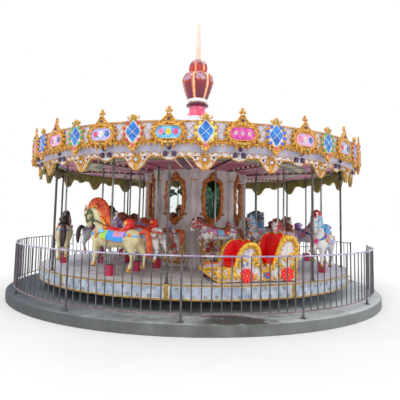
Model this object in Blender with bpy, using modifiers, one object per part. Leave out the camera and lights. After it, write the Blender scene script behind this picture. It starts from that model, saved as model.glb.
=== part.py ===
"""Fairground carousel: concrete plinth, fence, turning platform, canopy, horses and chariots.

Metres, +Z up. The origin is on the ground at the centre of the plinth. Angles are in degrees
round the centre, from the front of the ride (-Y) towards +X.
"""

import math

import bmesh
import bpy
from mathutils import Matrix, Vector

GAP = 0.0003  # left between two pieces that touch
END_CLEARANCE = 0.005  # left between the end of a beam and the ring round it
FULL_TURN = 360.0

# Plinth and the bearing that the platform turns on
PLINTH_RADIUS = 4.884
PLINTH_HEIGHT = 0.202
PLINTH_SIDES = 72
KERB_CHAMFER = 0.022
BEARING_RADIUS = 0.62
PIN_RADIUS = 0.14
PIN_CLEARANCE = 0.0012
BEARING_SIDES = 24

# Fence
FENCE_RADIUS = 4.712
FENCE_END_ANGLE = 81.0
FENCE_BAY = 27.9
FENCE_WIDE_BAY = 31.2
FENCE_BAYS_BEFORE_WIDE = 9
FENCE_BAYS = 12
BALUSTERS = 12
RAIL_TOP = 1.329
RAIL_BOTTOM = 0.330
RAIL_THICKNESS = 0.034
POST_WIDTH = 0.048
BALUSTER_WIDTH = 0.020
RAIL_STEPS = 3
BAYS_PER_PANEL = 1

# Platform
DECK_TOP = 0.735
DECK_UNDERSIDE = 0.620
DECK_RADIUS = 4.114
DECK_INNER_RADIUS = 0.70
FASCIA_BOTTOM = 0.440
FASCIA_THICKNESS = 0.035
HUB_RADIUS = 1.05
SWEEP_WIDTH = 0.10
SWEEP_BOTTOM = 0.470
QUADRANTS = 4
DECK_STEPS = 12

# Ranks of horses
RANKS = 8
RANK_ANGLE = 15.04
ROW_RADII = (3.58, 2.63, 1.88)
ROW_SCALES = (1.0, 0.90, 0.72)
CHARIOT_RANKS = (0, 4)
GUIDE_WIDTH = 0.17
GUIDE_HEIGHT = 0.234
POLE_RADIUS = 0.0225
POLE_SIDES = 6
POLE_CLEARANCE = 0.0006
POLE_FOOT = 0.765
POLE_HEAD = 3.560
ROW_LIFTS = (  # height of each row's horses above their mid height, rank by rank
    (0.0, -0.04, -0.03, 0.02, 0.0, -0.04, 0.03, 0.0),
    (0.0, -0.03, 0.03, -0.02, 0.0, 0.04, -0.03, 0.03),
    (0.02, 0.04, -0.02, 0.03, -0.03, 0.01, 0.04, -0.02),
)

# Horse, leaping towards -X with its pole at X = 0: points of (x, height, radius)
SADDLE_HEIGHT = 1.730
HORSE_TRUNK = ((0.74, 1.50, 0.10), (0.58, 1.54, 0.180), (0.05, 1.56, 0.180), (-0.28, 1.60, 0.185))
ARCHED_NECK = ((-0.33, 1.86, 0.170), (-0.44, 2.10, 0.140), (-0.63, 2.05, 0.095), (-0.62, 1.80, 0.055))
REACHING_NECK = ((-0.44, 1.79, 0.150), (-0.60, 1.89, 0.115), (-0.715, 1.85, 0.090), (-0.80, 1.66, 0.052))
HORSE_LEGS = (
    (-0.09, ((-0.30, 1.50, 0.085), (-0.36, 1.20, 0.050), (-0.38, 0.98, 0.042))),
    (0.09, ((-0.33, 1.50, 0.085), (-0.56, 1.35, 0.050), (-0.45, 1.12, 0.042))),
    (-0.09, ((0.58, 1.50, 0.110), (0.66, 1.16, 0.055), (0.58, 0.89, 0.042))),
    (0.09, ((0.60, 1.50, 0.110), (0.80, 1.20, 0.055), (0.80, 0.97, 0.042))),
)
HORSE_TAIL = ((0.72, 1.60, 0.050), (0.95, 1.58, 0.060), (1.02, 1.25, 0.035))
BODY_FLATNESS = 0.92
STIRRUP_REACH = 0.24
STIRRUP_HEIGHT = 1.200
STIRRUP_BAR = 0.022
ROW_LETTERS = "abc"

# Horses with the arched neck, by rank and row; the others reach forward
ARCHED_HORSES = ((1, 0), (3, 0), (5, 0), (7, 0), (1, 2), (2, 2))

# Chariot, its prow towards -X: the outline of a side, and each seat and back as low and high (x, z) corners
CHARIOT_RING = 3.350
CHARIOT_WIDTH = 0.960
CHARIOT_FLOOR = 0.060
FLOOR_ENDS = (-0.54, 1.08)
SIDE_THICKNESS = 0.060
CHARIOT_SIDE = (
    (-0.56, 0.74),
    (1.10, 0.74),
    (1.18, 1.45),
    (1.10, 1.62),
    (0.95, 1.68),
    (0.80, 1.60),
    (0.70, 1.30),
    (0.60, 1.06),
    (0.47, 1.00),
    (0.36, 1.12),
    (0.32, 1.40),
    (0.22, 1.52),
    (0.06, 1.50),
    (-0.08, 1.36),
    (-0.16, 1.10),
    (-0.30, 1.01),
    (-0.56, 1.04),
)
CHARIOT_SEATS = (
    ((-0.22, DECK_TOP), (0.20, 1.08)),
    ((0.48, DECK_TOP), (0.95, 1.20)),
    ((0.10, 1.00), (0.20, 1.55)),
    ((0.85, 1.10), (0.95, 1.70)),
)

# Prow of the chariot: half width and lowest and highest points at each station
CHARIOT_PROW = ((-0.52, 0.4797, 0.7406, 1.03), (-0.68, 0.32, 0.86, 1.06), (-0.86, 0.04, 0.985, 1.045))

# Centre housing
CORE_RADIUS = 1.37
CORE_CORNER_ANGLE = -2.0
CORE_SIDES = 8
COLUMN_RADIUS = 0.075

# Canopy
POST_ANGLE = -7.36
POST_RING = 4.060
RIM_POST_RADIUS = 0.026
RIM_POST_SIDES = 10
FOOT_THICKNESS = 0.015
WEDGE_STEPS = 6
CEILING = 3.250
CEILING_THICKNESS = 0.020
CEILING_INNER = 0.55
CEILING_FLAT = 1.45
CEILING_RISE = 0.11
SLOT_WIDTH = 0.10
BEAM_DEPTH = 0.12
CORNICE_INNER = 4.180
CORNICE_OUTER = 4.400
CORNICE_TOP = 3.790
LEDGE_RADIUS = 4.050
LEDGE_THICKNESS = 0.030
CORNICE_MOULDING = 3.410
VALANCE_TOP = 3.190
VALANCE_BOTTOM = 3.140
VALANCE_RADIUS = 4.230
CORNICE_NODES = 5
ELEMENT_ANGLE = 9.0
ELEMENT_START = 2.06
ELEMENTS_PER_NODE = 8
CORNICE_JOINT = 13.9  # from a diamond to the joint after the oval beyond it
CORNICE_STEPS = 8
FRAME_THICKNESS = 0.080
FRAME_STANDOFF = 0.015
OVAL_CENTRE = 3.560
OVAL_WIDTH = 0.650
OVAL_HEIGHT = 0.560
OVAL_SHOULDER = 25.0
OVAL_STEPS = 8
OVAL_CREST = 4.040
DIAMOND_CENTRE = 3.595
DIAMOND_WIDTH = 0.465
DIAMOND_HEIGHT = 0.680
DIAMOND_CREST = 3.960
DIAMOND_TIP = 0.05  # half width where the diamond meets its crest and its foot
CREST_DROP = 0.08
PENDANT_TOP_WIDTH = 0.560
PENDANT_WIDTH = 0.320
PENDANT_FOOT = 2.890
PENDANT_WAIST = 3.080
PENDANT_CALF = 2.950
PENDANT_THICKNESS = 0.030
BOW_TOP_WIDTH = 0.340
BOW_WIDTH = 0.280
BOW_WAIST = 3.100
BOW_FOOT = 3.060

# Roof and crown
ROOF_SIDES = 40
ROOF_RIM_RADIUS = 4.355
ROOF_THICKNESS = 0.06
ROOF_EYE_RADIUS = 0.25
CROWN_SIDES = 16
CROWN_FOOT = 4.900
CROWN_NECK_TOP = 5.472
CROWN_BULB_TOP = 6.692
SPIRE_TOP = 7.812

# Outer sides of the turned pieces as (radius, height), the roof from its rim up, the others from the top down
ROOF_SLOPE = ((4.295, 3.850), (2.60, 4.090), (1.30, 4.450), (0.42, CROWN_FOOT - GAP))
NECK_SIDE = (
    (0.297, CROWN_NECK_TOP - GAP),
    (0.297, 5.342),
    (0.337, 5.342),
    (0.337, 5.242),
    (0.250, 5.242),
    (0.250, 5.060),
    (0.350, 4.930),
    (0.350, CROWN_FOOT),
)
BULB_SIDE = (
    (0.090, CROWN_BULB_TOP - GAP),
    (0.220, 6.600),
    (0.285, 6.432),
    (0.240, 6.272),
    (0.330, 6.262),
    (0.455, 5.982),
    (0.440, 5.760),
    (0.310, CROWN_NECK_TOP),
)
SPIRE_SIDE = (
    (0.0415, SPIRE_TOP),
    (0.0730, 6.812),
    (0.0900, CROWN_BULB_TOP),
)

COLOURS = {
    "concrete": ((0.55, 0.53, 0.50), 0.9, 0.0),
    "painted_steel": ((0.66, 0.62, 0.66), 0.5, 0.2),
    "grease_steel": ((0.22, 0.22, 0.23), 0.5, 0.8),
    "deck_paint": ((0.62, 0.61, 0.60), 0.6, 0.0),
    "canopy_paint": ((0.80, 0.52, 0.18), 0.4, 0.0),
    "ceiling_paint": ((0.72, 0.45, 0.45), 0.6, 0.0),
    "housing_paint": ((0.55, 0.50, 0.54), 0.5, 0.0),
    "roof_fabric": ((0.80, 0.78, 0.84), 0.7, 0.0),
    "crown_paint": ((0.60, 0.20, 0.25), 0.4, 0.0),
    "spire_paint": ((0.85, 0.78, 0.66), 0.4, 0.0),
    "horse_shell": ((0.85, 0.80, 0.66), 0.35, 0.0),
    "chariot_shell": ((0.90, 0.88, 0.84), 0.35, 0.0),
}


def clear_scene():
    for scene_object in list(bpy.data.objects):
        bpy.data.objects.remove(scene_object, do_unlink=True)


def new_collection(name):
    collection = bpy.data.collections.new(name)
    bpy.context.scene.collection.children.link(collection)
    return collection


def paint(name):
    if name in bpy.data.materials:
        return bpy.data.materials[name]
    colour, roughness, metallic = COLOURS[name]
    material = bpy.data.materials.new(name)
    material.use_nodes = True
    shader = material.node_tree.nodes["Principled BSDF"]
    shader.inputs["Base Color"].default_value = (*colour, 1.0)
    shader.inputs["Roughness"].default_value = roughness
    shader.inputs["Metallic"].default_value = metallic
    return material


def on_ring(radius, angle, height=0.0):
    """Point at this radius and angle, 0 degrees at the front."""
    turn = math.radians(angle)
    return Vector((radius * math.sin(turn), -radius * math.cos(turn), height))


def facing_out(angle, radius=0.0, height=0.0):
    """Places a shape made with +X to the right and -Y outwards at an angle on the ring."""
    return Matrix.Translation(on_ring(radius, angle, height)) @ Matrix.Rotation(math.radians(angle), 4, "Z")


def finish(shape, name, collection, material):
    """Makes a mesh into a named object of the part."""
    shape.name = name
    obj = bpy.data.objects.new(name, shape)
    shape.materials.clear()
    shape.materials.append(paint(material))
    shape.shade_smooth()
    shape.set_sharp_from_angle(angle=math.radians(30))
    collection.objects.link(obj)
    return obj


def mesh_from(work, name="shape"):
    bmesh.ops.recalc_face_normals(work, faces=work.faces)
    shape = bpy.data.meshes.new(name)
    work.to_mesh(shape)
    work.free()
    return shape


def box(low, high):
    work = bmesh.new()
    bmesh.ops.create_cube(work, size=1.0)
    low, high = Vector(low), Vector(high)
    size = high - low
    move = Matrix.Translation((low + high) / 2) @ Matrix.Diagonal((*size, 1.0))
    bmesh.ops.transform(work, matrix=move, verts=work.verts)
    return mesh_from(work)


def cylinder(radius, low, high, sides, turn=0.0):
    """Upright cylinder on the Z axis."""
    work = bmesh.new()
    bmesh.ops.create_cone(
        work, cap_ends=True, segments=sides, radius1=radius, radius2=radius, depth=high - low
    )
    place = Matrix.Translation((0, 0, (low + high) / 2)) @ Matrix.Rotation(math.radians(turn), 4, "Z")
    bmesh.ops.transform(work, matrix=place, verts=work.verts)
    return mesh_from(work)


def outline_plate(points, thickness):
    """Flat outline in X and Z, with its thickness centred on Y = 0."""
    curve = bpy.data.curves.new("outline", "CURVE")
    curve.dimensions = "2D"
    curve.fill_mode = "BOTH"
    curve.extrude = thickness / 2
    spline = curve.splines.new("POLY")
    spline.points.add(len(points) - 1)
    for point, (x, z) in zip(spline.points, points):
        point.co = (x, z, 0.0, 1.0)
    spline.use_cyclic_u = True
    shape = mesh_of_curve(curve)
    shape.transform(Matrix.Rotation(math.radians(90), 4, "X"))
    return shape


def tube(points, radii, resolution=0, flat=1.0):
    """Closed tube through points, with its own radius at each; flat narrows it across Y."""
    curve = bpy.data.curves.new("tube", "CURVE")
    curve.dimensions = "3D"
    curve.bevel_depth = 1.0
    curve.bevel_resolution = resolution
    curve.use_fill_caps = True
    spline = curve.splines.new("POLY")
    spline.points.add(len(points) - 1)
    for point, place, radius in zip(spline.points, points, radii):
        point.co = (*place, 1.0)
        point.radius = radius
    shape = mesh_of_curve(curve)
    if flat != 1.0:
        middle = sum(place[1] for place in points) / len(points)
        squeeze = Matrix.Translation((0, middle, 0)) @ Matrix.Diagonal((1, flat, 1, 1))
        shape.transform(squeeze @ Matrix.Translation((0, -middle, 0)))
    return shape


def mesh_of_curve(curve):
    """Mesh of a curve's evaluated shape, with its caps welded on."""
    holder = bpy.data.objects.new("curve", curve)
    bpy.context.scene.collection.objects.link(holder)
    graph = bpy.context.evaluated_depsgraph_get()
    shape = bpy.data.meshes.new_from_object(holder.evaluated_get(graph))
    bpy.data.objects.remove(holder, do_unlink=True)
    work = bmesh.new()
    work.from_mesh(shape)
    bmesh.ops.remove_doubles(work, verts=work.verts, dist=0.00005)
    bpy.data.meshes.remove(shape)
    return mesh_from(work)


def turned(profile, sides, closed=False):
    """Solid of revolution. The profile is (radius, height) from top to bottom down its outer side."""
    work = bmesh.new()
    corners = [work.verts.new((radius, 0, height)) for radius, height in profile]
    for first, second in zip(corners, corners[1:]):
        work.edges.new((first, second))
    if closed:
        work.edges.new((corners[-1], corners[0]))
    line = bpy.data.meshes.new("profile")
    work.to_mesh(line)
    work.free()
    holder = bpy.data.objects.new("turned", line)
    bpy.context.scene.collection.objects.link(holder)
    screw = holder.modifiers.new("Screw", "SCREW")
    screw.steps = sides
    screw.render_steps = sides
    screw.use_merge_vertices = True
    screw.merge_threshold = 0.0001
    work = bmesh.new()
    work.from_mesh(evaluated(holder))
    return mesh_from(work)


def spun(profile, start, sweep, steps):
    """Closed profile of (radius, height), swept round the axis from one angle through another."""
    work = bmesh.new()
    corners = [work.verts.new(on_ring(radius, start, height)) for radius, height in profile]
    work.faces.new(corners)
    everything = work.verts[:] + work.edges[:] + work.faces[:]
    bmesh.ops.spin(
        work, geom=everything, cent=(0, 0, 0), axis=(0, 0, 1), angle=math.radians(sweep), steps=steps
    )
    return mesh_from(work)


def evaluated(holder):
    """Mesh of an object with its modifiers applied; the object is removed."""
    graph = bpy.context.evaluated_depsgraph_get()
    shape = bpy.data.meshes.new_from_object(holder.evaluated_get(graph))
    bpy.data.objects.remove(holder, do_unlink=True)
    return shape


def combined(base, others, operation="UNION"):
    """Base mesh with each other mesh joined to it, or cut from it."""
    holder = bpy.data.objects.new("base", base)
    bpy.context.scene.collection.objects.link(holder)
    tools = []
    for other in others:
        tool = bpy.data.objects.new("tool", other)
        bpy.context.scene.collection.objects.link(tool)
        tools.append(tool)
        boolean = holder.modifiers.new("Boolean", "BOOLEAN")
        boolean.operation = operation
        boolean.object = tool
    shape = evaluated(holder)
    for tool in tools:
        bpy.data.objects.remove(tool, do_unlink=True)
    return shape


def moved(shape, matrix):
    copy = shape.copy()
    copy.transform(matrix)
    return copy


def make_plinth(collection):
    shape = turned(
        [
            (0.0, PLINTH_HEIGHT),
            (PLINTH_RADIUS - KERB_CHAMFER, PLINTH_HEIGHT),
            (PLINTH_RADIUS, PLINTH_HEIGHT - KERB_CHAMFER),
            (PLINTH_RADIUS, 0.0),
            (0.0, 0.0),
        ],
        PLINTH_SIDES,
    )
    finish(shape, "concrete_plinth", collection, "concrete")


def make_bearing(collection):
    shape = turned(
        [
            (0.0, DECK_UNDERSIDE),
            (PIN_RADIUS, DECK_UNDERSIDE),
            (PIN_RADIUS, FASCIA_BOTTOM),
            (BEARING_RADIUS, FASCIA_BOTTOM),
            (BEARING_RADIUS, PLINTH_HEIGHT + GAP),
            (0.0, PLINTH_HEIGHT + GAP),
        ],
        BEARING_SIDES,
    )
    finish(shape, "bearing_pedestal", collection, "grease_steel")


def fence_post_angles():
    """Angles of the 13 posts, from the entrance round to its other side."""
    angles = [FENCE_END_ANGLE]
    for bay in range(FENCE_BAYS):
        step = FENCE_BAY if bay < FENCE_BAYS_BEFORE_WIDE else FENCE_WIDE_BAY
        angles.append(angles[-1] - step)
    return angles


def upright(width, low, high, angle):
    half = width / 2
    return moved(box((-half, -half, low), (half, half, high)), facing_out(angle, FENCE_RADIUS))


def rail(height, start, end):
    half = RAIL_THICKNESS / 2
    section = [
        (FENCE_RADIUS + half, height + half),
        (FENCE_RADIUS + half, height - half),
        (FENCE_RADIUS - half, height - half),
        (FENCE_RADIUS - half, height + half),
    ]
    return spun(section, start, end - start, RAIL_STEPS * BAYS_PER_PANEL)


def make_fence(collection):
    angles = fence_post_angles()
    post_reach = math.degrees((POST_WIDTH / 2 + GAP) / FENCE_RADIUS)
    post_top = RAIL_TOP + RAIL_THICKNESS
    for panel in range(FENCE_BAYS // BAYS_PER_PANEL):
        first = panel * BAYS_PER_PANEL
        stops = angles[first : first + BAYS_PER_PANEL + 1]
        last_panel = first + BAYS_PER_PANEL == FENCE_BAYS
        posts = stops if last_panel else stops[:-1]
        rail_end = stops[-1] if last_panel else stops[-1] + post_reach
        pieces = [rail(height, stops[0], rail_end) for height in (RAIL_TOP, RAIL_BOTTOM)]
        pieces += [upright(POST_WIDTH, PLINTH_HEIGHT + GAP, post_top, angle) for angle in posts]
        for start, end in zip(stops, stops[1:]):
            for index in range(BALUSTERS):
                angle = start + (end - start) * (index + 1) / (BALUSTERS + 1)
                pieces.append(upright(BALUSTER_WIDTH, RAIL_BOTTOM, RAIL_TOP, angle))
        shape = combined(pieces[2], pieces[:2] + pieces[3:])
        finish(shape, f"fence_panel_{panel + 1}", collection, "painted_steel")


def make_turntable_frame(collection):
    """Hub under the platform, with a radial sweep out to the rim below each rim post."""
    top = DECK_UNDERSIDE - GAP
    hub_foot = FASCIA_BOTTOM + GAP
    shape = cylinder(HUB_RADIUS, hub_foot, top, BEARING_SIDES)
    reach = DECK_RADIUS - FASCIA_THICKNESS - END_CLEARANCE
    half = SWEEP_WIDTH / 2
    sweeps = []
    for index in range(RANKS):
        sweep = box((-half, -reach, SWEEP_BOTTOM), (half, -HUB_RADIUS / 2, top))
        sweeps.append(moved(sweep, facing_out(POST_ANGLE + index * FULL_TURN / RANKS)))
    shape = combined(shape, sweeps)
    bore_radius = (PIN_RADIUS + PIN_CLEARANCE) / math.cos(math.pi / BEARING_SIDES)
    bore = cylinder(bore_radius, hub_foot - SWEEP_WIDTH, top + SWEEP_WIDTH, BEARING_SIDES)
    shape = combined(shape, [bore], "DIFFERENCE")
    finish(shape, "turntable_frame", collection, "grease_steel")


def rank_angle(rank):
    return RANK_ANGLE + rank * FULL_TURN / RANKS


def rows_of(rank):
    """Rows that hold a horse in this rank; a chariot takes the two outer ones."""
    return (2,) if rank in CHARIOT_RANKS else (0, 1, 2)


def make_deck(collection):
    """Platform in four quadrants, each with its fascia and the guide boxes of two ranks."""
    sweep = FULL_TURN / QUADRANTS
    half_gap = math.degrees(GAP / 2 / DECK_INNER_RADIUS)
    profile = [
        (DECK_INNER_RADIUS, DECK_TOP),
        (DECK_RADIUS, DECK_TOP),
        (DECK_RADIUS, FASCIA_BOTTOM),
        (DECK_RADIUS - FASCIA_THICKNESS, FASCIA_BOTTOM),
        (DECK_RADIUS - FASCIA_THICKNESS, DECK_UNDERSIDE),
        (DECK_INNER_RADIUS, DECK_UNDERSIDE),
    ]
    half = GUIDE_WIDTH / 2
    bore_radius = POLE_RADIUS + POLE_CLEARANCE
    turn = FULL_TURN / POLE_SIDES / 2
    for quadrant in range(QUADRANTS):
        start = POST_ANGLE + quadrant * sweep
        shape = spun(profile, start + half_gap, sweep - 2 * half_gap, DECK_STEPS)
        boxes = []
        bores = []
        for rank in (2 * quadrant, 2 * quadrant + 1):
            for row in rows_of(rank):
                place = facing_out(rank_angle(rank), ROW_RADII[row])
                guide = box((-half, -half, DECK_UNDERSIDE + GAP), (half, half, DECK_TOP + GUIDE_HEIGHT))
                bore = cylinder(bore_radius, FASCIA_BOTTOM, DECK_TOP + 2 * GUIDE_HEIGHT, POLE_SIDES, turn=turn)
                boxes.append(moved(guide, place))
                bores.append(moved(bore, place))
        shape = combined(shape, boxes)
        shape = combined(shape, bores, "DIFFERENCE")
        finish(shape, f"deck_quadrant_{quadrant + 1}", collection, "deck_paint")


def make_core(collection):
    """Closed eight-sided housing round the drive, with a column at each corner."""
    low = DECK_TOP + GAP
    high = CEILING - GAP
    turn = CORE_CORNER_ANGLE - 90.0
    shape = cylinder(CORE_RADIUS, low, high, CORE_SIDES, turn=turn)
    columns = []
    for index in range(CORE_SIDES):
        column = cylinder(COLUMN_RADIUS, low, high, POLE_SIDES)
        angle = CORE_CORNER_ANGLE + index * FULL_TURN / CORE_SIDES
        columns.append(moved(column, facing_out(angle, CORE_RADIUS)))
    shape = combined(shape, columns)
    finish(shape, "centre_housing", collection, "housing_paint")


def make_canopy_sweeps(collection):
    """Roof sweeps: each has its rim post, its roof beam and the ceiling panel that it carries."""
    spread = FULL_TURN / RANKS / 2
    facet = ELEMENT_ANGLE * ELEMENTS_PER_NODE / CORNICE_STEPS
    outer = CORNICE_INNER * math.cos(math.radians(facet / 2)) - END_CLEARANCE
    ceiling_top = CEILING + CEILING_THICKNESS
    for index in range(RANKS):
        angle = POST_ANGLE + index * FULL_TURN / RANKS
        points = wedge_outline(outer, spread)
        panel = outline_plate(points, CEILING_THICKNESS)
        panel.transform(Matrix.Rotation(math.radians(-90), 4, "X"))
        panel.transform(Matrix.Translation((0, 0, CEILING + CEILING_THICKNESS / 2)))
        half = SWEEP_WIDTH / 2
        panel = sloped(panel, outer)
        beam_start = -CEILING_INNER - SWEEP_WIDTH
        beam = box((-half, -outer, CEILING + GAP), (half, beam_start, ceiling_top + BEAM_DEPTH))
        post = cylinder(RIM_POST_RADIUS, DECK_TOP + GAP, ceiling_top, RIM_POST_SIDES)
        post.transform(Matrix.Translation((0, -POST_RING, 0)))
        foot = cylinder(RIM_POST_RADIUS * 2, DECK_TOP + GAP, DECK_TOP + FOOT_THICKNESS, RIM_POST_SIDES)
        foot.transform(Matrix.Translation((0, -POST_RING, 0)))
        shape = combined(panel, [beam, post, foot])
        shape.transform(facing_out(angle))
        finish(shape, f"canopy_sweep_{index + 1}", collection, "ceiling_paint")


def sloped(panel, outer):
    """Ceiling panel that rises from the housing to the rim."""
    work = bmesh.new()
    work.from_mesh(panel)
    geometry = [*work.verts, *work.edges, *work.faces]
    bmesh.ops.bisect_plane(work, geom=geometry, plane_co=(0, -CEILING_FLAT, 0), plane_no=(0, 1, 0))
    slope = CEILING_RISE / (outer - CEILING_FLAT)
    for vertex in work.verts:
        vertex.co.z += slope * max(0.0, -vertex.co.y - CEILING_FLAT)
    return mesh_from(work, "panel")


def wedge_outline(outer, spread):
    """Ceiling panel in plan, short of the crank slots on both sides of it."""
    points = []
    for radius, signs in ((outer, (-1, 1)), (CEILING_INNER, (1, -1))):
        cut = spread - math.degrees(math.asin(SLOT_WIDTH / 2 / radius))
        steps = WEDGE_STEPS if radius == outer else 1
        for step in range(steps + 1):
            angle = signs[0] * cut * (1 - 2 * step / steps)
            place = on_ring(radius, angle)
            points.append((place.x, place.y))
    return points


def oval_outline():
    """Oval picture frame with its leafed crest."""
    points = [(0.0, OVAL_CREST)]
    for step in range(OVAL_STEPS + 1):
        angle = math.radians(OVAL_SHOULDER + (FULL_TURN - 2 * OVAL_SHOULDER) * step / OVAL_STEPS)
        points.append((OVAL_WIDTH / 2 * math.sin(angle), OVAL_CENTRE + OVAL_HEIGHT / 2 * math.cos(angle)))
    return points


def diamond_outline():
    """Diamond frame with its crest and the pendant below it."""
    right = [
        (DIAMOND_TIP, DIAMOND_CREST - CREST_DROP),
        (DIAMOND_WIDTH / 2, DIAMOND_CENTRE),
        (DIAMOND_TIP, DIAMOND_CENTRE - DIAMOND_HEIGHT / 2),
    ]
    left = [(-x, z) for x, z in reversed(right)]
    return [(0.0, DIAMOND_CREST), *right, *left]


def pendant_outline():
    right = [
        (PENDANT_TOP_WIDTH / 2, VALANCE_TOP),
        (PENDANT_WIDTH / 2, PENDANT_WAIST),
        (PENDANT_WIDTH / 4, PENDANT_CALF),
    ]
    left = [(-x, z) for x, z in reversed(right)]
    return [*right, (0.0, PENDANT_FOOT), *left]


def bow_outline():
    right = [(BOW_TOP_WIDTH / 2, VALANCE_TOP), (BOW_WIDTH / 2, BOW_WAIST)]
    left = [(-x, z) for x, z in reversed(right)]
    return [*right, (0.0, BOW_FOOT), *left]


def make_cornice(collection):
    """Rim of the canopy in five lengths that rest on the beams, with oval and diamond frames."""
    ledge = CEILING + CEILING_THICKNESS + BEAM_DEPTH + GAP
    profile = [
        (CORNICE_INNER, CORNICE_TOP),
        (CORNICE_OUTER, CORNICE_TOP),
        (CORNICE_OUTER, CORNICE_MOULDING),
        (VALANCE_RADIUS, VALANCE_TOP),
        (VALANCE_RADIUS, VALANCE_BOTTOM),
        (CORNICE_INNER, VALANCE_BOTTOM),
        (CORNICE_INNER, ledge),
        (LEDGE_RADIUS, ledge),
        (LEDGE_RADIUS, ledge + LEDGE_THICKNESS),
        (CORNICE_INNER, ledge + LEDGE_THICKNESS),
    ]
    sweep = ELEMENT_ANGLE * ELEMENTS_PER_NODE
    half_gap = math.degrees(GAP / CORNICE_INNER)
    start = ELEMENT_START + CORNICE_JOINT
    plates = []
    for step in range(ELEMENTS_PER_NODE):
        angle = ELEMENT_START + (step + 2) * ELEMENT_ANGLE
        diamond = step % 2 == 0
        frame = outline_plate(diamond_outline() if diamond else oval_outline(), FRAME_THICKNESS)
        plates.append(moved(frame, facing_out(angle, CORNICE_OUTER + FRAME_STANDOFF)))
        drop = outline_plate(pendant_outline() if diamond else bow_outline(), PENDANT_THICKNESS)
        plates.append(moved(drop, facing_out(angle, VALANCE_RADIUS)))
    wall = spun(profile, start + half_gap, sweep - 2 * half_gap, CORNICE_STEPS)
    shape = combined(wall, plates)
    for index in range(CORNICE_NODES):
        turn = Matrix.Rotation(math.radians(index * sweep), 4, "Z")
        finish(moved(shape, turn), f"cornice_{index + 1}", collection, "canopy_paint")


def make_roof(collection):
    foot = CORNICE_TOP + GAP
    outer = [(ROOF_RIM_RADIUS, foot), *ROOF_SLOPE, (ROOF_EYE_RADIUS, CROWN_FOOT - GAP)]
    knee_radius, knee_height = ROOF_SLOPE[2]
    inner = [
        (ROOF_EYE_RADIUS, CROWN_FOOT - ROOF_THICKNESS),
        (knee_radius, knee_height - ROOF_THICKNESS),
        (CORNICE_INNER + ROOF_THICKNESS, foot),
    ]
    shape = turned(outer[::-1] + inner[::-1], ROOF_SIDES, closed=True)
    finish(shape, "roof_tent", collection, "roof_fabric")


def make_crown(collection):
    neck = [(0.0, NECK_SIDE[0][1]), *NECK_SIDE, (0.0, CROWN_FOOT)]
    bulb = [(0.0, BULB_SIDE[0][1]), *BULB_SIDE, (0.0, CROWN_NECK_TOP)]
    spire = [(0.0, SPIRE_TOP), *SPIRE_SIDE, (0.0, CROWN_BULB_TOP)]
    finish(turned(neck, CROWN_SIDES), "crown_neck", collection, "crown_paint")
    finish(turned(bulb, CROWN_SIDES), "crown_bulb", collection, "crown_paint")
    finish(turned(spire, CROWN_SIDES), "crown_spire", collection, "spire_paint")


def horse_shell(scale, neck):
    shapes = [scaled_tube((*HORSE_TRUNK, *neck), 0.0, scale, 1, BODY_FLATNESS)]
    for side, points in HORSE_LEGS:
        shapes.append(scaled_tube(points, side, scale, 0))
    shapes.append(scaled_tube(HORSE_TAIL, 0.0, scale, 0))
    return combined(shapes[0], shapes[1:])


def scaled_tube(points, side, scale, resolution, flat=1.0):
    """Tube through (x, z, radius) points, scaled about the saddle."""
    places = [(x * scale, side * scale, SADDLE_HEIGHT + (z - SADDLE_HEIGHT) * scale) for x, z, _ in points]
    radii = [radius * scale for _, _, radius in points]
    return tube(places, radii, resolution, flat)


def make_horse_mesh(row, neck):
    """Horse on its pole, with a stirrup bar through the pole."""
    scale = ROW_SCALES[row]
    turn = FULL_TURN / POLE_SIDES / 2
    pole = cylinder(POLE_RADIUS, POLE_FOOT, POLE_HEAD, POLE_SIDES, turn=turn)
    reach = STIRRUP_REACH * scale
    half = STIRRUP_BAR / 2
    height = SADDLE_HEIGHT + (STIRRUP_HEIGHT - SADDLE_HEIGHT) * scale
    bar = box((-half, -reach, height - half), (half, reach, height + half))
    return combined(pole, [horse_shell(scale, neck), bar])


def make_horses(collection):
    rows = range(len(ROW_RADII))
    reaching = [make_horse_mesh(row, REACHING_NECK) for row in rows]
    arched = [make_horse_mesh(row, ARCHED_NECK) for row in rows]
    for rank in range(RANKS):
        for row in rows_of(rank):
            name = f"horse_{rank + 1}{ROW_LETTERS[row]}"
            shape = arched[row] if (rank, row) in ARCHED_HORSES else reaching[row]
            horse = finish(shape.copy(), name, collection, "horse_shell")
            place = facing_out(rank_angle(rank), ROW_RADII[row], ROW_LIFTS[row][rank])
            horse.matrix_world = place


def chariot_prow():
    """Pointed prow, the hull of its stations."""
    work = bmesh.new()
    for x, half, low, high in CHARIOT_PROW:
        for y in (-half, half):
            for z in (low, high):
                work.verts.new((x, y, z))
    bmesh.ops.convex_hull(work, input=work.verts)
    return mesh_from(work, "prow")


def make_chariots(collection):
    """Two double seats one behind the other between two carved sides."""
    low = DECK_TOP + GAP
    half = CHARIOT_WIDTH / 2
    side = outline_plate([(x, max(z, low)) for x, z in CHARIOT_SIDE], SIDE_THICKNESS)
    offset = Matrix.Translation((0, half - SIDE_THICKNESS / 2, 0))
    reach = half - SIDE_THICKNESS + GAP
    pieces = [moved(side, offset), moved(side, offset.inverted()), chariot_prow()]
    for (x0, z0), (x1, z1) in CHARIOT_SEATS:
        pieces.append(box((x0, -reach, max(z0, low + GAP)), (x1, reach, z1)))
    floor = box((FLOOR_ENDS[0], -half + GAP, low), (FLOOR_ENDS[1], half - GAP, low + CHARIOT_FLOOR))
    shape = combined(floor, pieces)
    for index, rank in enumerate(CHARIOT_RANKS):
        chariot = finish(shape.copy(), f"chariot_{index + 1}", collection, "chariot_shell")
        chariot.matrix_world = facing_out(rank_angle(rank), CHARIOT_RING)


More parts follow.
